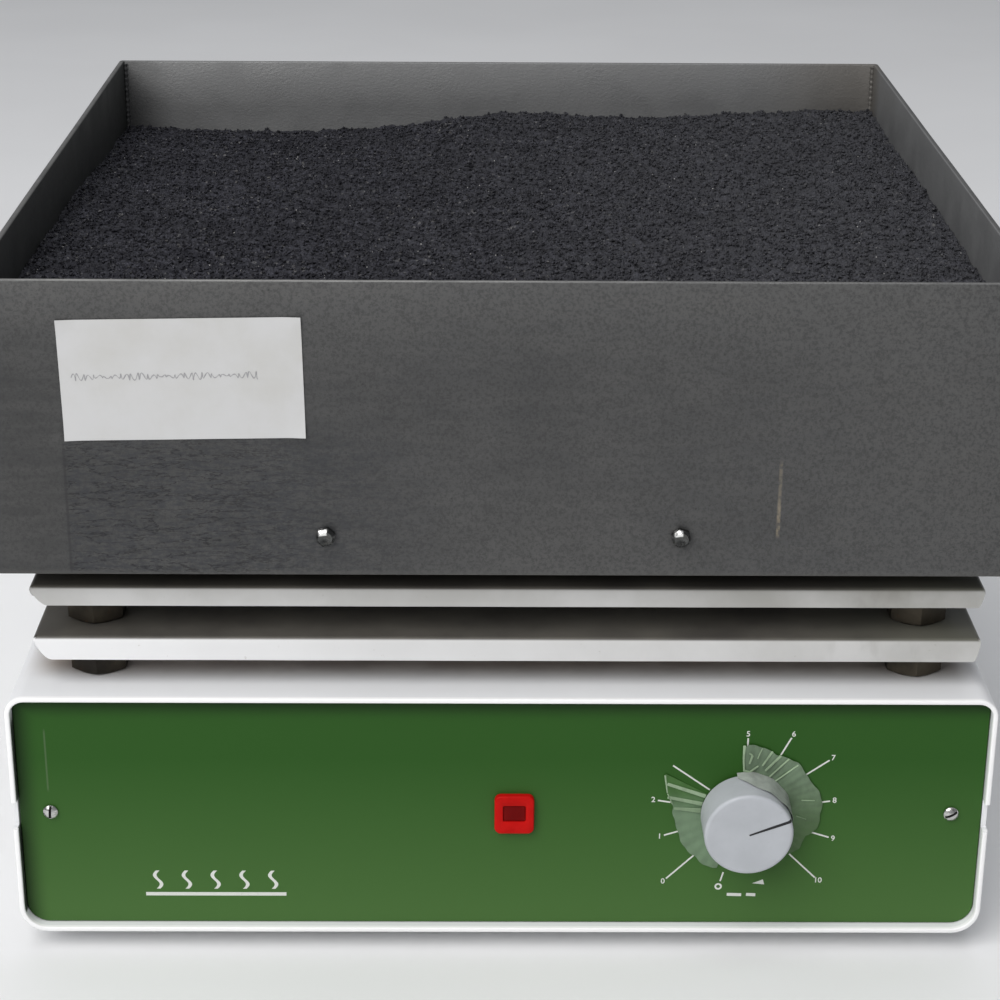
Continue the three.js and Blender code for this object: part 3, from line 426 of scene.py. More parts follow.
def film(name, pale, height_tone, low_z, high_z):
    """Old film stuck to the panel: a pale haze, more washed out into the green towards low_z."""
    look = Look(name, pale, 0.5)
    haze = look.span(look.noise(160, 5, (1, 1, 0.6)), 0.3, 0.72)
    fresh = look.mix(haze, shade(pale, 0.82), shade(pale, 1.18))
    old = look.mix(haze, shade(height_tone, 0.92), shade(height_tone, 1.1))
    look.paint(look.ramp("Z", low_z, high_z), old, fresh)
    look.roughen(500, 4, 0.4, 0.6)
    look.bump(look.noise(180, 3), 0.0001, 0.3)
    look.fix("Specular IOR Level", 0.3)
    return look.material


def ink(name, color, wear=0.25):
    look = Look(name, color, 0.5)
    rubbed = look.patches(1300, 4, 0.58, 0.72, 0.0, wear)
    look.paint(rubbed, color, shade(color, 0.45))
    look.bump(look.noise(2200, 2), 0.00001, 0.5)
    return look.material


# ---- Mesh tools -------------------------------------------------------------------------------

def new_object(name, data):
    obj = bpy.data.objects.new(name, data)
    bpy.context.scene.collection.objects.link(obj)
    return obj


def mesh_object(name, vertices, faces, welded=False):
    mesh = bpy.data.meshes.new(name)
    mesh.from_pydata([tuple(v) for v in vertices], [], faces)
    edited = bmesh.new()
    edited.from_mesh(mesh)
    if welded:
        bmesh.ops.remove_doubles(edited, verts=edited.verts, dist=1e-6)
    bmesh.ops.recalc_face_normals(edited, faces=edited.faces)
    edited.to_mesh(mesh)
    edited.free()
    return new_object(name, mesh)


def piece(name, vertices, faces, material, slot, body=STAND, stands_for=(), sharp=32):
    """A finished mesh that rides on a body, shows a material and replaces some CAD nodes."""
    obj = mesh_object(name, vertices, faces, welded=True)
    if sharp is not None:
        smooth(obj.data, sharp)
    obj.data.materials.append(material)
    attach(obj, body)
    if stands_for:
        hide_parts(*stands_for)
    return obj


def smooth(mesh, sharp):
    for face in mesh.polygons:
        face.use_smooth = True
    mesh.set_sharp_from_angle(angle=math.radians(sharp))


def applied(obj, sharp=32):
    """Turns an object's modifiers into mesh."""
    mesh = bpy.data.meshes.new_from_object(obj.evaluated_get(bpy.context.evaluated_depsgraph_get()))
    obj.modifiers.clear()
    obj.data = mesh
    smooth(mesh, sharp)
    return obj


def thickened(obj, thickness, offset, even=False):
    solid = obj.modifiers.new("thickness", "SOLIDIFY")
    solid.thickness = thickness
    solid.offset = offset
    solid.use_even_offset = even
    return applied(obj)


def cutter(vertices, faces):
    return mesh_object("cutter", vertices, faces)


def carve(obj, cutters):
    for tool in cutters:
        cut = obj.modifiers.new("cut", "BOOLEAN")
        cut.operation = "DIFFERENCE"
        cut.object = tool
    applied(obj)
    for tool in cutters:
        bpy.data.objects.remove(tool)
    return obj


def loft(loops, ring=False):
    """Joins loops of equal length by quads, closed by caps or back onto the first loop."""
    count = len(loops[0])
    vertices = [v for loop in loops for v in loop]
    faces = []
    for k in range(len(loops) if ring else len(loops) - 1):
        a = k * count
        b = (k + 1) % len(loops) * count
        for i in range(count):
            j = (i + 1) % count
            faces.append((a + i, a + j, b + j, b + i))
    if not ring:
        faces.append(tuple(range(count)))
        faces.append(tuple(range((len(loops) - 1) * count, len(loops) * count)))
    return vertices, faces


def grid(columns, rows, start=0):
    """Quads over a grid of points that are listed row by row."""
    wide = columns + 1
    faces = []
    for j in range(rows):
        for i in range(columns):
            a = start + j * wide + i
            faces.append((a, a + 1, a + wide + 1, a + wide))
    return faces


def slab(sheet, thickness):
    """A closed thin sheet, from rows of points on its front and the step to its back."""
    wide = len(sheet[0])
    tall = len(sheet)
    points = [v for row in sheet for v in row]
    layer = len(points)
    rim = [(i, i + 1) for i in range(wide - 1)]
    rim += [(layer - wide + i, layer - wide + i + 1) for i in range(wide - 1)]
    for j in range(tall - 1):
        rim.append((j * wide, (j + 1) * wide))
        rim.append((j * wide + wide - 1, (j + 1) * wide + wide - 1))
    faces = grid(wide - 1, tall - 1)
    faces += [(a, d, c, b) for a, b, c, d in grid(wide - 1, tall - 1, layer)]
    faces += [(a, b, b + layer, a + layer) for a, b in rim]
    return points + [v + thickness for v in points], faces


def brick(low, high):
    """A box between two corners, for cutting."""
    bottom = [(low[0], low[1]), (high[0], low[1]), (high[0], high[1]), (low[0], high[1])]
    return loft([[Vector((x, y, z)) for x, y in bottom] for z in (low[2], high[2])])


def rounded(x0, x1, y0, y1, low_radius, high_radius=None, steps=6, side_steps=1):
    """A rectangle with round corners, anticlockwise, with extra points along its sides."""
    high_radius = low_radius if high_radius is None else high_radius
    corners = (
        (x1 - low_radius, y0 + low_radius, low_radius, -90),
        (x1 - high_radius, y1 - high_radius, high_radius, 0),
        (x0 + high_radius, y1 - high_radius, high_radius, 90),
        (x0 + low_radius, y0 + low_radius, low_radius, 180),
    )
    arcs = []
    for cx, cy, radius, start in corners:
        arc = []
        for i in range(steps + 1):
            angle = math.radians(start + 90 * i / steps)
            arc.append((cx + radius * math.cos(angle), cy + radius * math.sin(angle)))
        arcs.append(arc)
    points = []
    for arc, following in zip(arcs, arcs[1:] + arcs[:1]):
        points.extend(arc)
        (ax, ay), (bx, by) = arc[-1], following[0]
        for i in range(1, side_steps):
            share = i / side_steps
            points.append((ax + (bx - ax) * share, ay + (by - ay) * share))
    return points


def inset_front(low, high, inset, low_radius, high_radius=None):
    """The outline of a box in X and Z, drawn in by inset."""
    x0, x1 = low.x + inset, high.x - inset
    z0, z1 = low.z + inset, high.z - inset
    return rounded(x0, x1, z0, z1, low_radius, high_radius, steps=8)


def centred(x, z, half_x, half_z, radius, steps=6):
    """A rectangle with round corners in X and Z about its middle."""
    return rounded(x - half_x, x + half_x, z - half_z, z + half_z, radius, steps=steps)


def inset_plan(low, high, inset, radius, **steps):
    """The outline of a box in X and Y, drawn in by inset."""
    return rounded(low.x + inset, high.x - inset, low.y + inset, high.y - inset, radius, **steps)


def hexagon(flats, turn, limit):
    """A hexagon of half width flats, turned by degrees and cut by a circle, as (across, along)."""
    sides = 48
    points = []
    for i in range(sides):
        angle = 2 * math.pi * i / sides
        local = (math.degrees(angle) - turn) % 60 - 30
        radius = min(flats / math.cos(math.radians(local)), limit)
        points.append((radius * math.cos(angle), radius * math.sin(angle)))
    return points


def upright(points, y):
    return [Vector((x, y, z)) for x, z in points]


def level(points, z):
    return [Vector((x, y, z)) for x, y in points]


def turned(profile, centre, axis="Y", sides=48):
    """A body turned about an axis through centre, from points of (radius, distance along it)."""
    vertices = []
    rings = []
    for radius, along in profile:
        ring = []
        for i in range(1 if radius == 0 else sides):
            angle = 2 * math.pi * i / sides
            a, b = radius * math.cos(angle), radius * math.sin(angle)
            offset = Vector((a, along, b)) if axis == "Y" else Vector((a, b, along))
            ring.append(len(vertices))
            vertices.append(Vector(centre) + offset)
        rings.append(ring)
    faces = []
    for ring, following in zip(rings, rings[1:]):
        for i in range(sides):
            j = (i + 1) % sides
            corners = [ring[i % len(ring)], ring[j % len(ring)]]
            corners += [following[j % len(following)], following[i % len(following)]]
            faces.append(tuple(dict.fromkeys(corners)))
    return vertices, faces


def arc(cx, cy, radius, start, end, steps):
    """Points on an arc, as (across, along), from start to end in degrees."""
    points = []
    for i in range(steps + 1):
        angle = math.radians(start + (end - start) * i / steps)
        points.append((cx + radius * math.cos(angle), cy + radius * math.sin(angle)))
    return points


def prism(outline, front, back):
    """A flat plate of an outline in X and Z, between two places along Y."""
    return loft([upright(outline, front), upright(outline, back)])


def middle_of(node):
    low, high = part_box(node)
    return (low + high) / 2


def bore_through(centre, radius, y0, y1, sides=40):
    x, z = centre
    return turned([(0, y0), (radius, y0), (radius, y1), (0, y1)], (x, 0, z), sides=sides)


def joined(parts):
    """Several (vertices, faces) as one."""
    vertices = []
    faces = []
    for part_vertices, part_faces in parts:
        shift = len(vertices)
        vertices.extend(part_vertices)
        faces.extend(tuple(i + shift for i in face) for face in part_faces)
    return vertices, faces


def stroke(start, end, width, end_width=None):
    """The outline of a straight printed line from one (x, z) to another."""
    (ax, az), (bx, bz) = start, end
    length = math.hypot(bx - ax, bz - az)
    nx, nz = -(bz - az) / length, (bx - ax) / length
    half = width / 2
    end_half = half if end_width is None else end_width / 2
    outline = [(ax + nx * half, az + nz * half), (ax - nx * half, az - nz * half)]
    return outline + [(bx - nx * end_half, bz - nz * end_half), (bx + nx * end_half, bz + nz * end_half)]


WHITE = enamel("white_enamel", (0.80, 0.81, 0.825), 0.28, (0.5, 0.46, 0.4), 0.12).material
GREEN = panel_enamel()
SHIELD = shield_enamel([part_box(f"{place}_shield")[1].z for place in ("lower", "upper")])
BLACK_SHEET = enamel("black_sheet", (0.014, 0.014, 0.015), 0.5, (0.06, 0.055, 0.05), 0.3).material
SCREW = bright_steel()
BOLT = bolt_steel([middle_of(f"tray_screw_front_{side}") for side in ("left", "right")])
HEATED = heated_steel()
SOOT_AND_SHADE = heated_steel("soot_and_slot_shade", (0.006, 0.006, 0.006), (0.016, 0.014, 0.012))
CAST = cast_iron()
KNOB = moulded("knob_plastic", (0.435, 0.455, 0.485), 0.4, soil=(0.2, 0.2, 0.2), soil_share=0.12)
BLACK_PLASTIC = moulded("black_plastic", (0.012, 0.012, 0.012), 0.42, soil=(0.05, 0.05, 0.05))
RED = red_lens("red_lens", (0.43, 0.005, 0.004), (0.5, 0.007, 0.006), 0.38)
RED_WINDOW = red_lens("red_window", (0.13, 0.002, 0.002), (0.17, 0.003, 0.003), 0.2)
RUBBER = moulded("foot_rubber", (0.014, 0.014, 0.014), 0.8, 500, (0.08, 0.075, 0.07), 0.4)
BRASS = bright_steel("brass", (0.6, 0.4, 0.13), 0.3)
BOARD = fibre_board()
SLEEVING = braided_sleeve()
SAND = black_sand()
PAPER = paper()
PRINT = ink("print_white", (0.66, 0.68, 0.64))
POINTER_INK = ink("pointer_ink", (0.006, 0.006, 0.007), 0.1)
PENCIL = ink("pencil_grey", (0.31, 0.31, 0.32), 0.5)
FILM_LEFT = film("dial_film_left", (0.05, 0.128, 0.03), (0.14, 0.215, 0.13), 0.07, 0.086)
FILM_RIGHT = film("dial_film_right", (0.135, 0.195, 0.125), (0.068, 0.125, 0.05), 0.06, 0.095)
FILM_COLLAR = film("dial_film_collar", (0.33, 0.36, 0.33), (0.25, 0.29, 0.25), 0.06, 0.09)
CREASE = film("dial_film_crease", (0.28, 0.38, 0.245), (0.13, 0.2, 0.11), 0.06, 0.09)
GLINT = moulded("sand_glint", (0.30, 0.295, 0.29), 0.35)


# ---- Housing ----------------------------------------------------------------------------------

CONTROL_Z = sum(v.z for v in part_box("panel_screw_front_left")) / 2
HEM = 2.4 * MM
HEM_DEPTH = 10 * MM
SHEET = 1.2 * MM
SHIELD_SHEET = 1.5 * MM
LIP = 0.7 * MM
FIT = 0.3 * MM
TOP_RADIUS = 9 * MM
BOTTOM_RADIUS = 13 * MM
TAB = 14 * MM
NOTCH = 5.5 * MM
WALL = 3 * MM
PANEL_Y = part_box("front_panel")[0].y
PRINT_DEPTH = 0.06 * MM
PRINT_GAP = 0.01 * MM
NUMERAL = 3.9 * MM
FILM_THICKNESS = 0.08 * MM
KNOB_CENTRE = middle_of("control_knob")
KNOB_RADIUS = (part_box("control_knob")[1].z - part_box("control_knob")[0].z) / 2
POINTER_DEGREES = 68.5
OFF_DEGREES = -165
HIDDEN_NUMBER = 3


def sleeve_loop(inset, y):
    low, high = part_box("housing_sleeve")
    return upright(inset_front(low, high, inset, BOTTOM_RADIUS - inset, TOP_RADIUS - inset), y)


def housing():
    """The folded sleeve: hemmed ends, notched beside the tabs, open underneath."""
    low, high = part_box("housing_sleeve")
    middle = (low.y + high.y) / 2
    lip = []
    for degrees in (0, 30, 60, 90):
        angle = math.radians(degrees)
        lip.append((LIP * (1 - math.cos(angle)), LIP * (1 - math.sin(angle))))
    half = [(inset, low.y + back) for inset, back in lip]
    half += [(HEM - inset, low.y + back) for inset, back in reversed(lip)]
    half += [(HEM, low.y + HEM_DEPTH), (SHEET, low.y + HEM_DEPTH + 0.4 * MM)]
    mirrored = [(inset, 2 * middle - y) for inset, y in reversed(half)]
    mesh = loft([sleeve_loop(inset, y) for inset, y in half + mirrored], ring=True)
    coat = sleeve_enamel(middle, high.z)
    shell = piece("sleeve_shell", *mesh, coat, "white_enamel", stands_for=["housing_sleeve"])
    tools = []
    for x, outward in ((low.x, -1), (high.x, 1)):
        for y, forward in ((low.y, -1), (high.y, 1)):
            xs = sorted((x + outward * MM, x - outward * (HEM + MM)))
            ys = sorted((y + forward * MM, y - forward * NOTCH))
            corner = (xs[0], ys[0], CONTROL_Z - TAB / 2)
            tools.append(cutter(*brick(corner, (xs[1], ys[1], CONTROL_Z + TAB / 2))))
    belly = 160 * MM
    corner = (-belly, middle - belly, low.z - MM)
    tools.append(cutter(*brick(corner, (belly, middle + belly, low.z + HEM + MM))))
    carve(shell, tools)
    panel_tabs()


def panel_tabs():
    """The four tabs bent in from the side walls, which the panel screws bite into."""
    low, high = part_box("housing_sleeve")
    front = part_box("front_panel")[1].y + FIT
    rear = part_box("rear_panel")[0].y - FIT - SHEET
    reach = 25 * MM
    parts = []
    for y in (front, rear):
        for x0, x1 in ((low.x + MM, low.x + reach), (high.x - reach, high.x - MM)):
            outline = rounded(x0, x1, CONTROL_Z - TAB / 2, CONTROL_Z + TAB / 2, 2 * MM)
            parts.append(prism(outline, y, y + SHEET))
    piece("sleeve_tabs", *joined(parts), WHITE, "white_enamel")


def panel(name, node, material, slot, openings):
    """A panel sheet with softened edges, cut for what passes through it."""
    low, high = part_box(node)
    soft = 0.45 * MM
    loops = []
    for inset, y in ((soft, low.y), (0, low.y + soft), (0, high.y - soft), (soft, high.y)):
        taken = HEM + FIT + inset
        outline = inset_front(low, high, inset, BOTTOM_RADIUS - taken, TOP_RADIUS - taken)
        loops.append(upright(outline, y))
    sheet = piece(name, *loft(loops), material, slot, stands_for=[node])
    carve(sheet, [cutter(*opening) for opening in openings])


def screw_holes(end, y0, y1):
    """The holes in a panel for its two screws."""
    holes = []
    for side in ("left", "right"):
        screw = middle_of(f"panel_screw_{end}_{side}")
        holes.append(bore_through((screw.x, screw.z), 2.3 * MM, y0, y1))
    return holes


def front_panel():
    low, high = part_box("front_panel")
    y0, y1 = low.y - MM, high.y + MM
    nut = middle_of("regulator_nut")
    body = middle_of("pilot_lamp_body")
    half = 8 * MM
    openings = [bore_through((nut.x, nut.z), 5.3 * MM, y0, y1)]
    openings.append(brick((body.x - half, y0, body.z - half), (body.x + half, y1, body.z + half)))
    openings += screw_holes("front", y0, y1)
    panel("front_panel_sheet", "front_panel", GREEN, "green_enamel", openings)


def rear_panel():
    """The rear panel, cut for the inlet, its screws and three columns of vents."""
    low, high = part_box("rear_panel")
    y0, y1 = low.y - MM, high.y + MM
    inlet = middle_of("power_inlet")
    openings = [prism(centred(inlet.x, inlet.z, 14 * MM, 10 * MM, MM), y0, y1)]
    openings += screw_holes("rear", y0, y1)
    for x in (-150 * MM, -105 * MM, -60 * MM):
        for row in (-2, -1, 0, 1, 2):
            vent = centred(x, CONTROL_Z + row * 10 * MM, 15 * MM, 2 * MM, 1.99 * MM)
            openings.append(prism(vent, y0, y1))
    panel("rear_panel_sheet", "rear_panel", WHITE, "white_enamel", openings)


def panel_screw(side, end):
    """A screw with a domed, slotted head, and a dark plate in the slot as painted shade."""
    node = f"panel_screw_{end}_{side}"
    low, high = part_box(node)
    out = -1 if end == "front" else 1
    tall = 2.2 * MM
    seat = low.y + tall if end == "front" else high.y - tall
    head, dome = 3.4 * MM, 1.3 * MM
    ball = (head * head + dome * dome) / (2 * dome)
    steps = 7
    profile = [(0, out * tall)]
    for i in range(1, steps + 1):
        angle = math.asin(head / ball) * i / steps
        profile.append((ball * math.sin(angle), out * (tall - ball * (1 - math.cos(angle)))))
    profile += [(3.5 * MM, out * 0.7 * MM), (3.45 * MM, out * 0.2 * MM), (3.3 * MM, 0), (2 * MM, 0)]
    profile += [(2 * MM, -out * 8 * MM), (0, -out * 8 * MM)]
    centre = ((low.x + high.x) / 2, seat, (low.z + high.z) / 2)
    shape = turned(profile, centre, sides=40)
    screw = piece(f"{node}_head", *shape, SCREW, "screw_steel", stands_for=[node])
    tilt = Matrix.Rotation(math.radians(4 if side == "left" else 63), 4, "Y")
    slot = cutter(*brick((-0.6 * MM, -1.4 * MM, -5 * MM), (0.6 * MM, 1.4 * MM, 5 * MM)))
    slot.data.transform(Matrix.Translation((centre[0], seat + out * tall, centre[2])) @ tilt)
    carve(screw, [slot])
    # Painted shade: a dark plate fills the slot.
    fill = brick((-0.57 * MM, -0.2 * MM, -3.05 * MM), (0.57 * MM, 0.2 * MM, 3.05 * MM))
    slot_shade_plate = piece(f"{node}_slot_shade_fill", *fill, SOOT_AND_SHADE, "screw_steel")
    slot_shade_plate.data.transform(Matrix.Translation((centre[0], seat + out * 0.95 * MM, centre[2])) @ tilt)


def base_and_feet():
    """The slotted bottom pan and its four turned rubber feet."""
    low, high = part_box("base_pan")
    soft = 0.4 * MM
    inner, outer = 5 * MM, 6 * MM
    stations = [(SHEET, high.z - SHEET, inner), (SHEET, low.z + soft, inner), (SHEET + soft, low.z, inner)]
    stations += [(SHEET, low.z, outer), (0, low.z + soft, outer), (0, high.z - MM, outer)]
    stations.append((MM, high.z, outer))
    loops = [level(inset_plan(low, high, inset, radius), z) for inset, z, radius in stations]
    pan = piece("base_pan_sheet", *loft(loops), BLACK_SHEET, "black_sheet", stands_for=["base_pan"])
    middle = (low + high) / 2
    slots = []
    for row in range(-2, 3):
        y = middle.y + row * 30 * MM
        slot = brick((-60 * MM, y - 2 * MM, low.z - MM), (60 * MM, y + 2 * MM, high.z + MM))
        slots.append(cutter(*slot))
    carve(pan, slots)
    top = high.z - SHEET - FIT
    for corner in CORNERS:
        node = f"foot_{corner}"
        spot = middle_of(node)
        peg_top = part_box(node)[1].z
        profile = [(0, 1.2 * MM), (3 * MM, 1.2 * MM), (3.4 * MM, 0.8 * MM), (4.5 * MM, 0.0)]
        profile += [(9.2 * MM, 0.0), (10.2 * MM, 0.5 * MM), (10.6 * MM, 1.4 * MM)]
        profile += [(11 * MM, top - 1.2 * MM), (10.4 * MM, top), (2.5 * MM, top)]
        profile += [(2.5 * MM, peg_top), (0, peg_top)]
        foot = turned(profile, (spot.x, spot.y, 0), "Z", 40)
        piece(f"{node}_pad", *foot, RUBBER, "foot_rubber", stands_for=[node])


# ---- Controls ---------------------------------------------------------------------------------

def lamp():
    """A red moulded bezel with a crowned face, and a darker window sunk in it."""
    low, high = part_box("pilot_lamp_lens")
    crown = 0.9 * MM
    stations = [(0.0, high.y), (0.0, low.y + crown)]
    for degrees in (30, 60, 90):
        angle = math.radians(degrees)
        stations.append((crown * (1 - math.cos(angle)), low.y + crown * (1 - math.sin(angle))))
    loops = [upright(inset_front(low, high, inset, 3 * MM - inset * 0.8), y) for inset, y in stations]
    centre = (low + high) / 2 + Vector((0, 0, 0.7 * MM))

    def window_loop(grow, deep):
        outline = centred(centre.x, centre.z, (5.2 + grow) * MM, (4.1 + grow) * MM, 0.9 * MM, 8)
        return upright(outline, low.y + deep * MM)

    loops += [window_loop(grow, deep) for grow, deep in ((0.5, 0), (0.1, 0.25), (0, 1.7))]
    piece("pilot_lamp_cap", *loft(loops), RED, "red_lens", stands_for=["pilot_lamp_lens"], sharp=50)
    glass = [window_loop(grow, deep) for grow, deep in ((-0.1, 1.6), (-0.1, 0.9), (-0.5, 0.7))]
    piece("pilot_lamp_window", *loft(glass), RED_WINDOW, "red_lens", sharp=50)


def knob():
    """A plain turned knob: rounded rims, a faint dish in its face and an open skirt behind."""
    low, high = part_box("control_knob")
    centre = KNOB_CENTRE
    radius = KNOB_RADIUS
    face, base = low.y - centre.y + 0.05 * MM, high.y - centre.y
    soft = 1.6 * MM
    profile = [(0, face + 0.12 * MM), (radius * 0.55, face + 0.1 * MM), (radius * 0.86, face + 0.02 * MM)]
    profile += [(radius - soft + a, face + soft - b) for a, b in arc(0, 0, soft, 90, 0, 7)]
    profile += [(radius, base - 0.6 * MM), (radius - 0.4 * MM, base), (radius - 3 * MM, base)]
    profile += [(radius - 3.2 * MM, base - 5 * MM), (3.3 * MM, base - 5 * MM)]
    profile += [(3.3 * MM, face + 3 * MM), (0, face + 3 * MM)]
    shape = turned(profile, centre, sides=96)
    piece("knob_body", *shape, KNOB, "knob_plastic", CONTROL, ["control_knob"])
    angle = math.radians(POINTER_DEGREES)
    along = Vector((math.sin(angle), 0, math.cos(angle)))
    across = Vector((math.cos(angle), 0, -math.sin(angle)))
    # (distance from the axis, half width, depth below the face)
    stations = [(0.2 * MM, 0.3 * MM, 0), (1.2 * MM, 0.38 * MM, 0), (12 * MM, 0.6 * MM, 0)]
    stations.append((radius - soft, 0.72 * MM, 0))
    for degrees in (20, 40, 60, 80):
        turn = math.radians(degrees)
        distance = radius - soft + soft * math.sin(turn)
        stations.append((distance, 0.75 * MM, soft * (1 - math.cos(turn)) - 0.02 * MM))
    deep = Vector((0, 0.5 * MM, 0))
    loops = []
    for distance, half, sunk in stations:
        spot = Vector((centre.x, low.y + sunk, centre.z)) + along * distance
        left, right = spot - across * half, spot + across * half
        loops.append([left, right, right + deep, left + deep])
    piece("knob_pointer_line", *loft(loops), POINTER_INK, "black_plastic", CONTROL, ["knob_pointer"])


def dial_spot(degrees, radius):
    """A place on the panel, by its angle round the knob and its distance in mm, as (x, z)."""
    angle = math.radians(degrees)
    x = KNOB_CENTRE.x + radius * MM * math.sin(angle)
    return (x, KNOB_CENTRE.z + radius * MM * math.cos(angle))


def dial_degrees(number):
    return -135 + 27 * number


def dial():
    """The printed scale: lines fanned out round the knob, each with its number at its end."""

    def printed(outline):
        return prism(outline, PANEL_Y - PRINT_DEPTH, PANEL_Y - PRINT_GAP)

    # (number, where its line starts and ends, in mm from the knob's axis)
    lines = [(0, 32, 50), (1, 32, 39), (2, 35, 41), (3, 20.5, 42), (5, 35, 39), (6, 34, 44)]
    lines += [(7, 21, 47), (8, 31, 40), (9, 24, 42), (10, 31, 49)]
    ends = [(dial_degrees(number), start, end) for number, start, end in lines]
    ends.append((OFF_DEGREES, 33, 38))
    parts = []
    for degrees, start, end in ends:
        outline = stroke(dial_spot(degrees, start), dial_spot(degrees, end), 0.75 * MM)
        parts.append(printed(outline))
    for across, length in ((-3.0, 6.8), (4.9, 4.4)):
        middle, low = KNOB_CENTRE.x + across * MM, KNOB_CENTRE.z - 44.1 * MM
        half = length / 2 * MM
        parts.append(printed(stroke((middle - half, low + 0.2 * MM), (middle + half, low), 1.6 * MM)))
    parts.append(printed([dial_spot(172, 38.2), dial_spot(164, 37.2), dial_spot(164, 40)]))
    piece("dial_lines", *joined(parts), PRINT, "white_enamel")
    hub_x, hub_z = dial_spot(OFF_DEGREES, 41)
    turns = [2 * math.pi * i / 28 for i in range(28)]
    outer, inner = 1.75 * MM, 0.9 * MM
    loops = []
    stations = ((outer, PRINT_DEPTH), (outer, PRINT_GAP), (inner, PRINT_GAP), (inner, PRINT_DEPTH))
    for radius, depth in stations:
        ring = [(hub_x + radius * math.cos(t), hub_z + radius * math.sin(t)) for t in turns]
        loops.append(upright(ring, PANEL_Y - depth))
    piece("dial_off_mark", *loft(loops, ring=True), PRINT, "white_enamel")
    for number, _, end in lines:
        if number != HIDDEN_NUMBER:
            numeral(number, dial_spot(dial_degrees(number), end + 2.1))


def numeral(number, place):
    """One number of the scale, lying on the panel."""
    text = bpy.data.curves.new(f"numeral_{number}", "FONT")
    text.body = str(number)
    text.size = 1
    text.align_x = "CENTER"
    text.align_y = "CENTER"
    text.offset = 0.012
    text.extrude = PRINT_DEPTH / 2 / NUMERAL
    carrier = new_object("numeral_text", text)
    bpy.context.view_layer.update()
    depsgraph = bpy.context.evaluated_depsgraph_get()
    mesh = bpy.data.meshes.new_from_object(carrier.evaluated_get(depsgraph))
    bpy.data.objects.remove(carrier)
    turn = Matrix.Rotation(math.radians(90), 4, "X")
    seat = Matrix.Translation((place[0], PANEL_Y - PRINT_DEPTH / 2 - PRINT_GAP, place[1]))
    mesh.transform(seat @ turn @ Matrix.Scale(NUMERAL, 4))
    obj = new_object(f"dial_number_{number}", mesh)
    mesh.materials.clear()
    mesh.materials.append(PRINT)
    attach(obj, STAND)


LEFT_FILM_EDGE = [(-158, 31), (-147, 33), (-135, 32.4), (-108, 32.6), (-95, 32.6), (-84, 33.6)]
LEFT_FILM_EDGE += [(-74, 37.6), (-61, 42.5)]
RIGHT_FILM_EDGE = [(-3, 34), (0, 36), (10, 35.2), (24, 34.1), (42, 35.2), (58, 34.6), (81, 36.2)]
RIGHT_FILM_EDGE += [(103, 34.7), (112, 31), (126, 32.5), (135, 30)]


def film_fan(name, material, edge, pleat, pleats, lift):
    """A pleated scrap of old film round the knob. edge lists (degrees, radius in mm)."""
    steps = 84
    rows = 7
    inner = 20.3
    first, last = edge[0][0], edge[-1][0]
    spokes = []
    for i in range(steps + 1):
        degrees = first + (last - first) * i / steps
        outer = edge[-1][1]
        for (a, radius_a), (b, radius_b) in zip(edge, edge[1:]):
            if a <= degrees <= b:
                outer = radius_a + (radius_b - radius_a) * (degrees - a) / (b - a)
                break
        outer += 0.35 * math.sin(math.radians(degrees * 11)) + 0.2 * math.sin(math.radians(degrees * 27))
        spokes.append((degrees, outer, 0.5 + 0.5 * math.sin(math.radians(degrees * pleats * 3.6))))
    sheet = []
    for k in range(rows + 1):
        share = k / rows
        row = []
        for degrees, outer, wave in spokes:
            height = 0.12 + pleat * wave * (0.25 + 0.75 * share) + lift * share * share
            x, z = dial_spot(degrees, inner + (outer - inner) * share)
            row.append(Vector((x, PANEL_Y - height * MM, z)))
        sheet.append(row)
    piece(name, *slab(sheet, Vector((0, FILM_THICKNESS, 0))), material, "white_enamel", sharp=24)


def film_collar():
    """Film drawn up round the side of the knob, just clear of it."""
    steps, rows = 60, 6
    points = []
    for k in range(rows + 1):
        share = k / rows
        for i in range(steps + 1):
            turn = math.radians(-12 + 108 * i / steps)
            rise = 1.5 + 14.5 * math.sin(math.pi * (0.02 + 0.96 * i / steps)) ** 0.6
            rise += 0.5 * math.sin(turn * 9)
            gap = 0.7 + 0.5 * (1 - share) ** 2 + 0.2 * math.sin(turn * 13 + share * 2)
            out = KNOB_RADIUS + gap * MM
            x, z = KNOB_CENTRE.x + out * math.sin(turn), KNOB_CENTRE.z + out * math.cos(turn)
            points.append(Vector((x, PANEL_Y - (0.4 + rise * share) * MM, z)))
    collar = piece("dial_film_collar", points, grid(steps, rows), FILM_COLLAR, "white_enamel", sharp=40)
    thickened(collar, FILM_THICKNESS, 0)


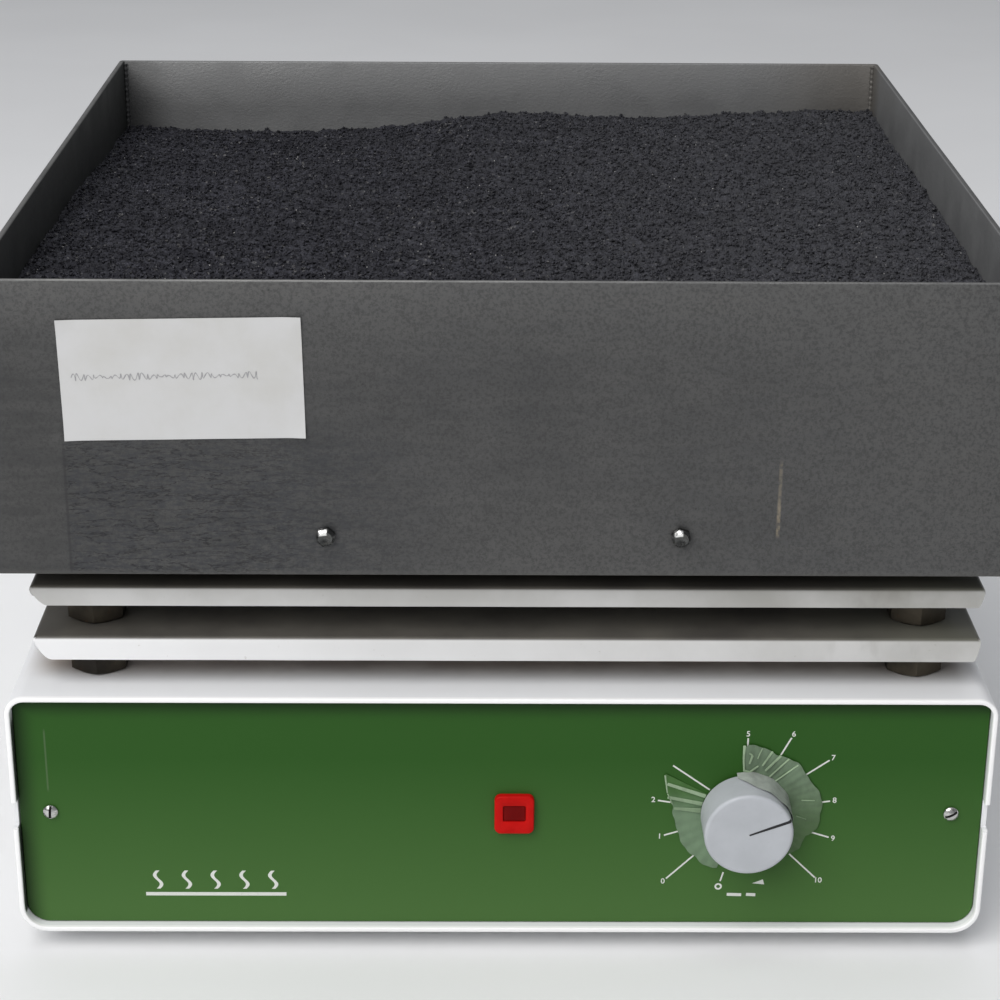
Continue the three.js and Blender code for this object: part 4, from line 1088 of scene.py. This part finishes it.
def film_creases():
    """Pale folds and torn edges standing up from the film."""
    # (angle and radius of one end, of the other end, width at each end), in degrees and mm
    folds = [
        (-67, 39.5, -64, 20.4, 1.5, 1.9), (-76.7, 37, -76, 20.4, 1.5, 2), (-85.5, 33, -86, 20.4, 1.2, 2.4),
        (-73.5, 37.8, -62, 42.5, 0.6, 0.9), (-74, 37.5, -82, 34, 0.6, 0.6), (-3, 22, -3.4, 28, 0.9, 0.9),
        (-3.4, 28, -2.5, 35.5, 0.9, 1.3), (-3.0, 22.5, 4, 21.8, 1.1, 0.9), (4, 21.8, 12, 25.5, 1.0, 0.8),
        (2.5, 26, 4.5, 30.5, 0.8, 1.2), (4.5, 30.5, 1.5, 31.5, 0.7, 0.7), (9.5, 29, 11, 35, 0.6, 0.7),
        (16, 26, 19.5, 34.5, 0.8, 1.1), (21, 24, 27, 34, 0.9, 1.3), (29, 22, 34, 34.5, 0.7, 0.8),
        (38, 21, 43, 35, 0.6, 0.7), (75, 27, 78, 33, 0.6, 0.4), (93, 24, 96, 29, 0.5, 0.3),
    ]
    parts = []
    for a, radius_a, b, radius_b, wide_a, wide_b in folds:
        outline = stroke(dial_spot(a, radius_a), dial_spot(b, radius_b), wide_a * MM, wide_b * MM)
        parts.append(prism(outline, PANEL_Y - 1.0 * MM, PANEL_Y - 0.45 * MM))
    folded = piece("dial_film_creases", *joined(parts), CREASE, "white_enamel")
    bevel = folded.modifiers.new("softened", "BEVEL")
    bevel.width = 0.16 * MM
    bevel.segments = 1
    bevel.limit_method = "ANGLE"
    bevel.angle_limit = math.radians(35)
    applied(folded)


def heat_sign():
    """A plain sign for heat: five waves rising from a bar."""
    cx, cz = -134 * MM, 34 * MM
    bar_z, half_bar, half_wave = cz - 6.2 * MM, 33 * MM, 0.85 * MM
    outlines = [stroke((cx - half_bar, bar_z), (cx + half_bar, bar_z), 1.8 * MM)]
    for k in (-2, -1, 0, 1, 2):
        left, right = [], []
        for i in range(17):
            share = i / 16
            x = cx + (k * 13.5 + 1.5 * math.sin(2 * math.pi * share)) * MM
            z = cz + (share * 9.8 - 3.4) * MM
            left.append((x - half_wave, z))
            right.append((x + half_wave, z))
        outlines.append(left + right[::-1])
    parts = [prism(outline, PANEL_Y - PRINT_DEPTH, PANEL_Y) for outline in outlines]
    piece("heat_sign", *joined(parts), PRINT, "white_enamel")


def power_inlet():
    """The mains inlet: a softened flange, a deep socket and three flat contacts."""
    low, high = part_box("power_inlet")
    centre = (low + high) / 2
    face = high.y
    flange = face - 2.5 * MM
    floor = face - 18.8 * MM
    # (half width, half height, place along Y, corner radius)
    stations = [
        (13.7, 9.7, flange - 20.3 * MM, 1.0), (13.7, 9.7, flange, 1.0), (16.7, 12.7, flange, 2.0),
        (16.7, 12.7, face - 0.8 * MM, 2.0), (15.9, 11.9, face, 1.5),
        (12.3, 8.3, face, 2.4), (12.0, 8.0, face - 0.5 * MM, 2.4), (12.0, 8.0, floor, 2.4),
    ]
    loops = []
    for wide, tall, y, radius in stations:
        loops.append(upright(centred(centre.x, centre.z, wide * MM, tall * MM, radius * MM), y))
    piece("power_inlet_shell", *loft(loops), BLACK_PLASTIC, "black_plastic", stands_for=["power_inlet"])
    contacts = []
    for x, z in ((-7, -2), (0, 2), (7, -2)):
        spot_x, spot_z = centre.x + x * MM, centre.z + z * MM
        pin = centred(spot_x, spot_z, MM, 2 * MM, 0.3 * MM)
        blade = centred(spot_x, spot_z, 0.4 * MM, 3 * MM, 0.1 * MM)
        contacts.append(prism(pin, floor - 0.5 * MM, face - 5.8 * MM))
        contacts.append(prism(blade, flange - 27 * MM, flange - 20 * MM))
    piece("power_inlet_contacts", *joined(contacts), SCREW, "screw_steel")


# ---- Heat shields and spacers -----------------------------------------------------------------

def heat_shield(node, seed):
    """A folded sheet: flat top, four turned-down flanges with angled ends, slightly uneven."""
    low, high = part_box(node)
    centre = (low + high) / 2
    half = (high.x - low.x) / 2
    drop = high.z - low.z
    bend = 2.2 * MM
    front_cuts = (8 * MM, 3 * MM)
    other_cuts = (12 * MM, 12 * MM)
    rng = random.Random(seed)
    phase = [rng.uniform(0, 6) for _ in range(4)]
    section = [(half - bend + a, -bend + b) for a, b in arc(0, 0, bend, 90, 0, 4)]
    for share in (0.2, 0.4, 0.6, 0.75, 0.87, 0.95, 1.0):
        section.append((half, -bend - (drop - bend) * share))
    steps = 40
    vertices = [Vector((centre.x, centre.y, high.z))]
    faces = []
    for side in range(4):
        turn = Matrix.Rotation(math.pi / 2 * side, 3, "Z")
        start = len(vertices)
        for out, down in section:
            fall = min(1, max(0, (-down - 0.3 * bend) / (drop - 0.3 * bend)))
            widest = half - bend + bend * min(1, -down / bend)
            for i in range(steps + 1):
                share = i / steps * 2 - 1
                cuts = other_cuts if side else front_cuts
                cut = cuts[0 if share < 0 else 1]
                reach = widest - cut * (0.45 * fall + 0.55 * (1 - math.sqrt(1 - fall * fall)))
                ripple = 0.12 * MM * math.sin(9 * share + phase[side]) * (-down / drop)
                spot = turn @ Vector((share * reach, -(out - abs(ripple)), 0))
                vertices.append(Vector((centre.x + spot.x, centre.y + spot.y, high.z + down)))
        faces += grid(steps, len(section) - 1, start)
        faces += [(0, start + i + 1, start + i) for i in range(steps)]
    shield = piece(f"{node}_sheet", vertices, faces, SHIELD, "shield_enamel", stands_for=[node])
    thickened(shield, SHIELD_SHEET, -1, even=True)
    bores = [(f"tie_bolt_{corner}", 4.5 * MM, 24) for corner in CORNERS] + [("lead_conduit", 8.6 * MM, 32)]
    tools = []
    for through, radius, sides in bores:
        spot = middle_of(through)
        bottom, top = high.z - 4 * MM, high.z + MM
        hole = [(0, bottom), (radius, bottom), (radius, top), (0, top)]
        tools.append(cutter(*turned(hole, (spot.x, spot.y, 0), "Z", sides)))
    carve(shield, tools)


def spacer(level_name, corner):
    """A hexagonal nut-like spacer with chamfered ends and a bore."""
    node = f"{level_name}_spacer_{corner}"
    low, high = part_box(node)
    centre = (low + high) / 2
    flats = (high.x - low.x) / 2
    points = flats / math.cos(math.radians(30))
    chamfer = points - flats
    bore = 4.5 * MM
    soft = 0.4 * MM
    # (radius of the circle that cuts the hexagon, distance from the end)
    end = [(bore, soft), (bore + soft, 0), (flats * 0.96, 0)]
    end += [(points - chamfer * 0.35, chamfer * 0.42), (points, chamfer * 0.62)]
    stations = [(limit, low.z + inward) for limit, inward in end]
    stations += [(limit, high.z - inward) for limit, inward in reversed(end)]
    loops = []
    for limit, z in stations:
        loops.append([Vector((centre.x + a, centre.y + b, z)) for a, b in hexagon(flats, -30, limit)])
    piece(f"{node}_hex", *loft(loops, ring=True), HEATED, "heated_steel", stands_for=[node])


# ---- Tray, sand and label ---------------------------------------------------------------------

def tray():
    """The welded tray: walls a little uneven, rim rubbed round, floor part way down."""
    low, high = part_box("sand_tray")
    height = high.z - low.z
    rim = 0.8 * MM
    soft = 0.4 * MM
    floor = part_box("sand_fill")[0].z - FIT
    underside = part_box("heating_plate")[1].z + FIT

    def outline(inset, z):
        radius = max(2.2 * MM - inset, 0.5 * MM)
        loop = []
        for x, y in inset_plan(low, high, inset, radius, steps=5, side_steps=36):
            inward = Vector((-x, (low.y + high.y) / 2 - y, 0)).normalized()
            sway = noise.noise(Vector((x * 9, y * 9, z * 6))) * 0.5 + 0.5
            loop.append(Vector((x, y, z)) + inward * 0.35 * MM * sway * (z - low.z) / height)
        return loop

    stations = [(WALL, floor), (WALL, floor + height * 0.3), (WALL, high.z - height * 0.2)]
    for degrees in (0, 30, 60, 90, 120, 150, 180):
        angle = math.radians(degrees)
        stations.append((WALL / 2 + WALL / 2 * math.cos(angle), high.z - rim + rim * math.sin(angle)))
    stations += [(0, high.z - height * share) for share in (0.2, 0.4, 0.6, 0.8)]
    stations += [(0, low.z + soft), (soft, low.z), (WALL - soft, low.z), (WALL, low.z + soft)]
    stations.append((WALL, underside))
    steel = mill_steel((low.y + high.y) / 2, high.z, low.z)
    mesh = loft([outline(inset, z) for inset, z in stations])
    body = piece("tray_body", *mesh, steel, "tray_steel", stands_for=["sand_tray"])
    tools = []
    for end in ("front", "rear"):
        for side in ("left", "right"):
            spot = middle_of(f"tray_screw_{end}_{side}")
            hole = bore_through((spot.x, spot.z), 2.8 * MM, spot.y - 9 * MM, spot.y + 9 * MM, 28)
            tools.append(cutter(*hole))
    carve(body, tools)
    weld_beads(steel)


def weld_beads(steel):
    """Rippled fillets of weld down the four inner corners."""
    low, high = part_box("sand_tray")
    bottom = SAND_HIGH.z - 60 * MM
    inward = WALL + 0.7 * MM
    steps = 90
    turns = [2 * math.pi * k / 10 for k in range(10)]
    for index, corner in enumerate(CORNERS):
        cx = low.x + inward if "left" in corner else high.x - inward
        cy = low.y + inward if "front" in corner else high.y - inward
        rng = random.Random(index + 5)
        loops = []
        for i in range(steps + 1):
            z = bottom + (high.z - 1.5 * MM - bottom) * i / steps
            radius = 1.35 * MM * (1 + 0.16 * math.sin(i * 1.9) + rng.uniform(-0.1, 0.1))
            loops.append([Vector((cx + radius * math.cos(t), cy + radius * math.sin(t), z)) for t in turns])
        piece(f"tray_weld_{corner}", *loft(loops), steel, "tray_steel", sharp=60)


def tray_screw(end, side):
    """A hexagon-head screw with a washer face, a chamfered crown and a dished top."""
    node = f"tray_screw_{end}_{side}"
    low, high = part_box(node)
    centre = (low + high) / 2
    out = -1 if end == "front" else 1
    tip = low.y if end == "front" else high.y
    seat = tip - out * 4 * MM
    flats = 4 * MM
    points = flats / math.cos(math.radians(30))
    # (radius of the circle that cuts the hexagon, place along Y)
    stations = [(2.5 * MM, seat - out * 9.7 * MM), (2.5 * MM, seat), (3.75 * MM, seat)]
    stations += [(3.75 * MM, seat + out * 0.4 * MM), (points, seat + out * 0.5 * MM)]
    stations += [(points, tip - out * 1.3 * MM), (flats * 0.76, tip)]
    stations += [(flats * 0.6, tip - out * 0.12 * MM), (flats * 0.25, tip - out * 0.9 * MM)]
    loops = []
    for limit, y in stations:
        outline = hexagon(flats, 17 if side == "left" else 41, limit)
        loops.append([Vector((centre.x + a, y, centre.z + b)) for a, b in outline])
    piece(f"{node}_hex", *loft(loops), BOLT, "screw_steel", stands_for=[node])


SAND_LOW, SAND_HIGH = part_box("sand_fill")
SAND_CENTRE = (SAND_LOW + SAND_HIGH) / 2
SAND_HALF = (SAND_HIGH.x - SAND_LOW.x) / 2
RIM_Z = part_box("sand_tray")[1].z


def sand_level(u, v):
    """Height of the sand, where u and v run from -1 to 1 to the right and to the rear."""

    def hill(height, at_u, at_v, spread_u, spread_v):
        return height * math.exp(-((u - at_u) ** 2) / spread_u - ((v - at_v) ** 2) / spread_v)

    rear_dip = hill(-9, -0.75, 1.1, 0.5, 0.45)
    rear_mound = hill(5, 0.05, 1, 0.03, 0.1)
    right_bank = hill(5, 1, 0, 0.35, 8)
    left_bank = hill(6, -1, -0.35, 0.12, 0.6)
    hollow = hill(-4, 0, -0.3, 0.4, 0.4)
    ripple = 1.2 * math.sin(7 * u + 2 * v) * math.cos(6 * v - u)
    return RIM_Z + (-33 + rear_dip + rear_mound + right_bank + left_bank + hollow + ripple) * MM


def sand_surface(x, y):
    """The coarse level with clumps and grains on it."""
    height = sand_level((x - SAND_CENTRE.x) / SAND_HALF, (y - SAND_CENTRE.y) / SAND_HALF)
    spot = Vector((x, y, 0))
    height += 1.3 * MM * noise.noise(spot * 38)
    height += 1.0 * MM * noise.noise(spot * 110 + Vector((3, 7, 1)))
    height += 1.7 * MM * noise.noise(spot * 240 + Vector((9, 2, 5)))
    height += 0.8 * MM * noise.noise(spot * 560 + Vector((1, 8, 4)))
    return height


def sand():
    """The bed of sand down to the tray's floor, and the loose grains on it."""
    low, high = SAND_LOW, SAND_HIGH
    cells = 290
    wide = cells + 1
    vertices = []
    for j in range(wide):
        y = low.y + (high.y - low.y) * j / cells
        for i in range(wide):
            x = low.x + (high.x - low.x) * i / cells
            vertices.append(Vector((x, y, sand_surface(x, y))))
    faces = grid(cells, cells)
    border = list(range(wide))
    border += [j * wide + cells for j in range(1, wide)]
    border += [cells * wide + i for i in range(cells - 1, -1, -1)]
    border += [j * wide for j in range(cells - 1, 0, -1)]
    base = len(vertices)
    vertices += [Vector((vertices[index].x, vertices[index].y, low.z)) for index in border]
    count = len(border)
    for k in range(count):
        m = (k + 1) % count
        faces.append((border[k], base + k, base + m, border[m]))
    faces.append(tuple(range(base, base + count)))
    piece("sand_bed", vertices, faces, SAND, "black_sand", stands_for=["sand_fill"], sharp=None)
    scatter("sand_grains", 20000, (0.5, 1.15), SAND, 11)
    scatter("sand_grains_coarse", 16000, (0.7, 1.35), SAND, 13)
    scatter("sand_glints", 420, (0.25, 0.5), GLINT, 12)


def scatter(name, count, sizes, material, seed):
    """Loose angular grains, half sunk in the surface, as one mesh. sizes are in mm."""
    low, high = SAND_LOW, SAND_HIGH
    rng = random.Random(seed)
    axes = ((1, 0, 0), (-1, 0, 0), (0, 1, 0), (0, -1, 0), (0, 0, 1), (0, 0, -1))
    directions = [Vector(axis) for axis in axes]
    sides = [(0, 2, 4), (2, 1, 4), (1, 3, 4), (3, 0, 4), (2, 0, 5), (1, 2, 5), (3, 1, 5), (0, 3, 5)]
    vertices = []
    faces = []
    for _ in range(count):
        x = rng.uniform(low.x + MM, high.x - MM)
        y = rng.uniform(low.y + MM, high.y - MM)
        size = rng.uniform(*sizes) * MM
        z = sand_surface(x, y) + size * rng.uniform(-0.1, 0.7)
        turn = Matrix.Rotation(rng.uniform(0, 6.28), 3, "X") @ Matrix.Rotation(rng.uniform(0, 6.28), 3, "Z")
        start = len(vertices)
        for direction in directions:
            spot = turn @ (direction * size * rng.uniform(0.7, 1.25))
            vertices.append(Vector((x, y, z)) + spot)
        faces.extend(tuple(start + i for i in side) for side in sides)
    piece(name, vertices, faces, material, "black_sand", sharp=None)


def label():
    """A pasted paper label: slightly wavy, its corners just lifting."""
    low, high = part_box("paper_label")
    centre = (low + high) / 2
    width, height = 104 * MM, 54.5 * MM
    thickness = 0.14 * MM
    front_y = high.y - 0.05 * MM - thickness
    tilt = math.radians(1.0)
    across = Vector((math.cos(tilt), 0, math.sin(tilt)))
    up = Vector((-math.sin(tilt), 0, math.cos(tilt)))
    columns, rows = 52, 28

    def lift(u, v):
        corner = max(0, abs(u) - 0.86) * max(0, abs(v) - 0.72) * 26 * MM
        wave = 0.07 * MM * (1 + math.sin(7 * u + 3 * v)) * 0.5
        return corner * (1.0 if u > 0 else 0.6) + wave

    sheet = []
    for j in range(rows + 1):
        row = []
        for i in range(columns + 1):
            u, v = i / columns * 2 - 1, j / rows * 2 - 1
            spot = centre + across * (u * width / 2) + up * (v * height / 2)
            row.append(Vector((spot.x, front_y - lift(u, v), spot.z)))
        sheet.append(row)
    paper_sheet = slab(sheet, Vector((0, thickness, 0)))
    piece("label_sheet", *paper_sheet, PAPER, "label_paper", stands_for=["paper_label"])
    pencil_strokes(centre, across, up, front_y)


def pencil_strokes(centre, across, up, surface_y):
    """Faint loops of pencil that spell nothing."""
    rng = random.Random(21)
    steps = 420
    front = surface_y - 0.13 * MM
    back = front + 0.02 * MM
    loops = []
    for i in range(steps + 1):
        x = (-47 + 80 * i / steps + 0.5 * math.sin(i * 0.31)) * MM
        tall = 1.0 + 0.55 * math.sin(i * 0.047 + 1)
        z = (1.6 + tall * math.sin(i * 0.52) + 0.25 * math.sin(i * 0.13) + rng.uniform(-0.08, 0.08)) * MM
        spot = centre + across * x + up * z
        width = (0.20 + 0.08 * math.sin(i * 0.9)) * MM
        loops.append([
            Vector((spot.x - width, front, spot.z)), Vector((spot.x, front, spot.z - width)),
            Vector((spot.x + width, back, spot.z)), Vector((spot.x, back, spot.z + width)),
        ])
    piece("label_pencil", *loft(loops), PENCIL, "label_paper")


# ---- Everything that keeps its CAD shape --------------------------------------------------------

def dress_cad_nodes():
    """Gives every CAD node the material of its slot."""
    looks = {
        "screw_steel": SCREW, "heated_steel": HEATED, "cast_plate": CAST, "knob_plastic": KNOB,
        "black_plastic": BLACK_PLASTIC, "brass": BRASS, "fibre_board": BOARD, "lead_sleeve": SLEEVING,
        "white_enamel": WHITE, "green_enamel": GREEN, "black_sheet": BLACK_SHEET, "red_lens": RED,
        "shield_enamel": SHIELD, "foot_rubber": RUBBER, "black_sand": SAND, "label_paper": PAPER,
        "tray_steel": HEATED,
    }
    for row in frame["record"]["subparts"]:
        node = frame["nodes"][row["node"]]
        node.data.materials.clear()
        node.data.materials.append(SOOT_AND_SHADE if row["node"] == "heater_pan" else looks[row["material_slot"]])


# ---- Stage ------------------------------------------------------------------------------------

def studio():
    """A wide pale floor, a dim even sky and two soft lights."""
    reach = 6.0
    floor_mesh = bpy.data.meshes.new("floor")
    corners = [(-reach, -reach, 0), (reach, -reach, 0), (reach, reach, 0), (-reach, reach, 0)]
    floor_mesh.from_pydata(corners, [], [(0, 1, 2, 3)])
    look = Look("floor_pale", (0.82, 0.825, 0.83), 0.6)
    look.paint(look.patches(2, 3, 0.3, 0.7), (0.80, 0.805, 0.81), (0.84, 0.845, 0.85))
    floor_mesh.materials.append(look.material)
    new_object("floor", floor_mesh)

    world = bpy.data.worlds.new("studio")
    world.use_nodes = True
    sky = world.node_tree.nodes["Background"].inputs
    sky["Color"].default_value = (0.93, 0.95, 1.0, 1)
    sky["Strength"].default_value = 0.22
    bpy.context.scene.world = world

    soft_light("key", (-1.2, -2.0, 2.25), 2.8, 89, (1.0, 0.985, 0.97))
    soft_light("overhead", (0, 0.3, 4.0), 3.5, 60, (0.97, 0.98, 1.0))


def soft_light(name, place, size, power, color):
    """A round lamp that faces the middle of the object. power is in watts."""
    data = bpy.data.lights.new(name, "AREA")
    data.shape = "DISK"
    data.size = size
    data.energy = power
    data.color = color
    light = new_object(name, data)
    light.location = place
    aim = Vector((0, 0, 0.2)) - Vector(place)
    light.rotation_euler = aim.to_track_quat("-Z", "Y").to_euler()


def camera():
    """Stands in front of the object and looks down on it, with a slight turn and roll."""
    yaw, pitch, roll = (math.radians(degrees) for degrees in (0.478, 22.067, 0.369))
    forward = Vector((math.sin(yaw) * math.cos(pitch), math.cos(yaw) * math.cos(pitch), -math.sin(pitch)))
    flat_right = Vector((math.cos(yaw), -math.sin(yaw), 0))
    flat_up = flat_right.cross(forward)
    right = flat_right * math.cos(roll) + flat_up * math.sin(roll)
    up = flat_up * math.cos(roll) - flat_right * math.sin(roll)
    data = bpy.data.cameras.new("camera")
    data.sensor_width = 36
    data.lens = 85.17
    eye = new_object("camera", data)
    aside, before, height = -0.0096, 0.9589, 0.6192
    place = Vector((aside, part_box("housing_sleeve")[0].y - before, height))
    eye.matrix_world = Matrix.Translation(place) @ Matrix((right, up, -forward)).transposed().to_4x4()
    bpy.context.scene.camera = eye


camera()
studio()
dress_cad_nodes()
housing()
front_panel()
rear_panel()
for screw_end in ("front", "rear"):
    for screw_side in ("left", "right"):
        panel_screw(screw_side, screw_end)
        tray_screw(screw_end, screw_side)
base_and_feet()
lamp()
knob()
dial()
film_fan("dial_film_left", FILM_LEFT, LEFT_FILM_EDGE, 0.35, 9, 0.5)
film_fan("dial_film_right", FILM_RIGHT, RIGHT_FILM_EDGE, 0.45, 14, 0.7)
film_collar()
film_creases()
heat_sign()
power_inlet()
heat_shield("lower_shield", 1)
heat_shield("upper_shield", 2)
for spacer_level in ("lower", "middle", "upper"):
    for spacer_corner in CORNERS:
        spacer(spacer_level, spacer_corner)
tray()
sand()
label()

bpy.context.scene.view_settings.view_transform = "Standard"
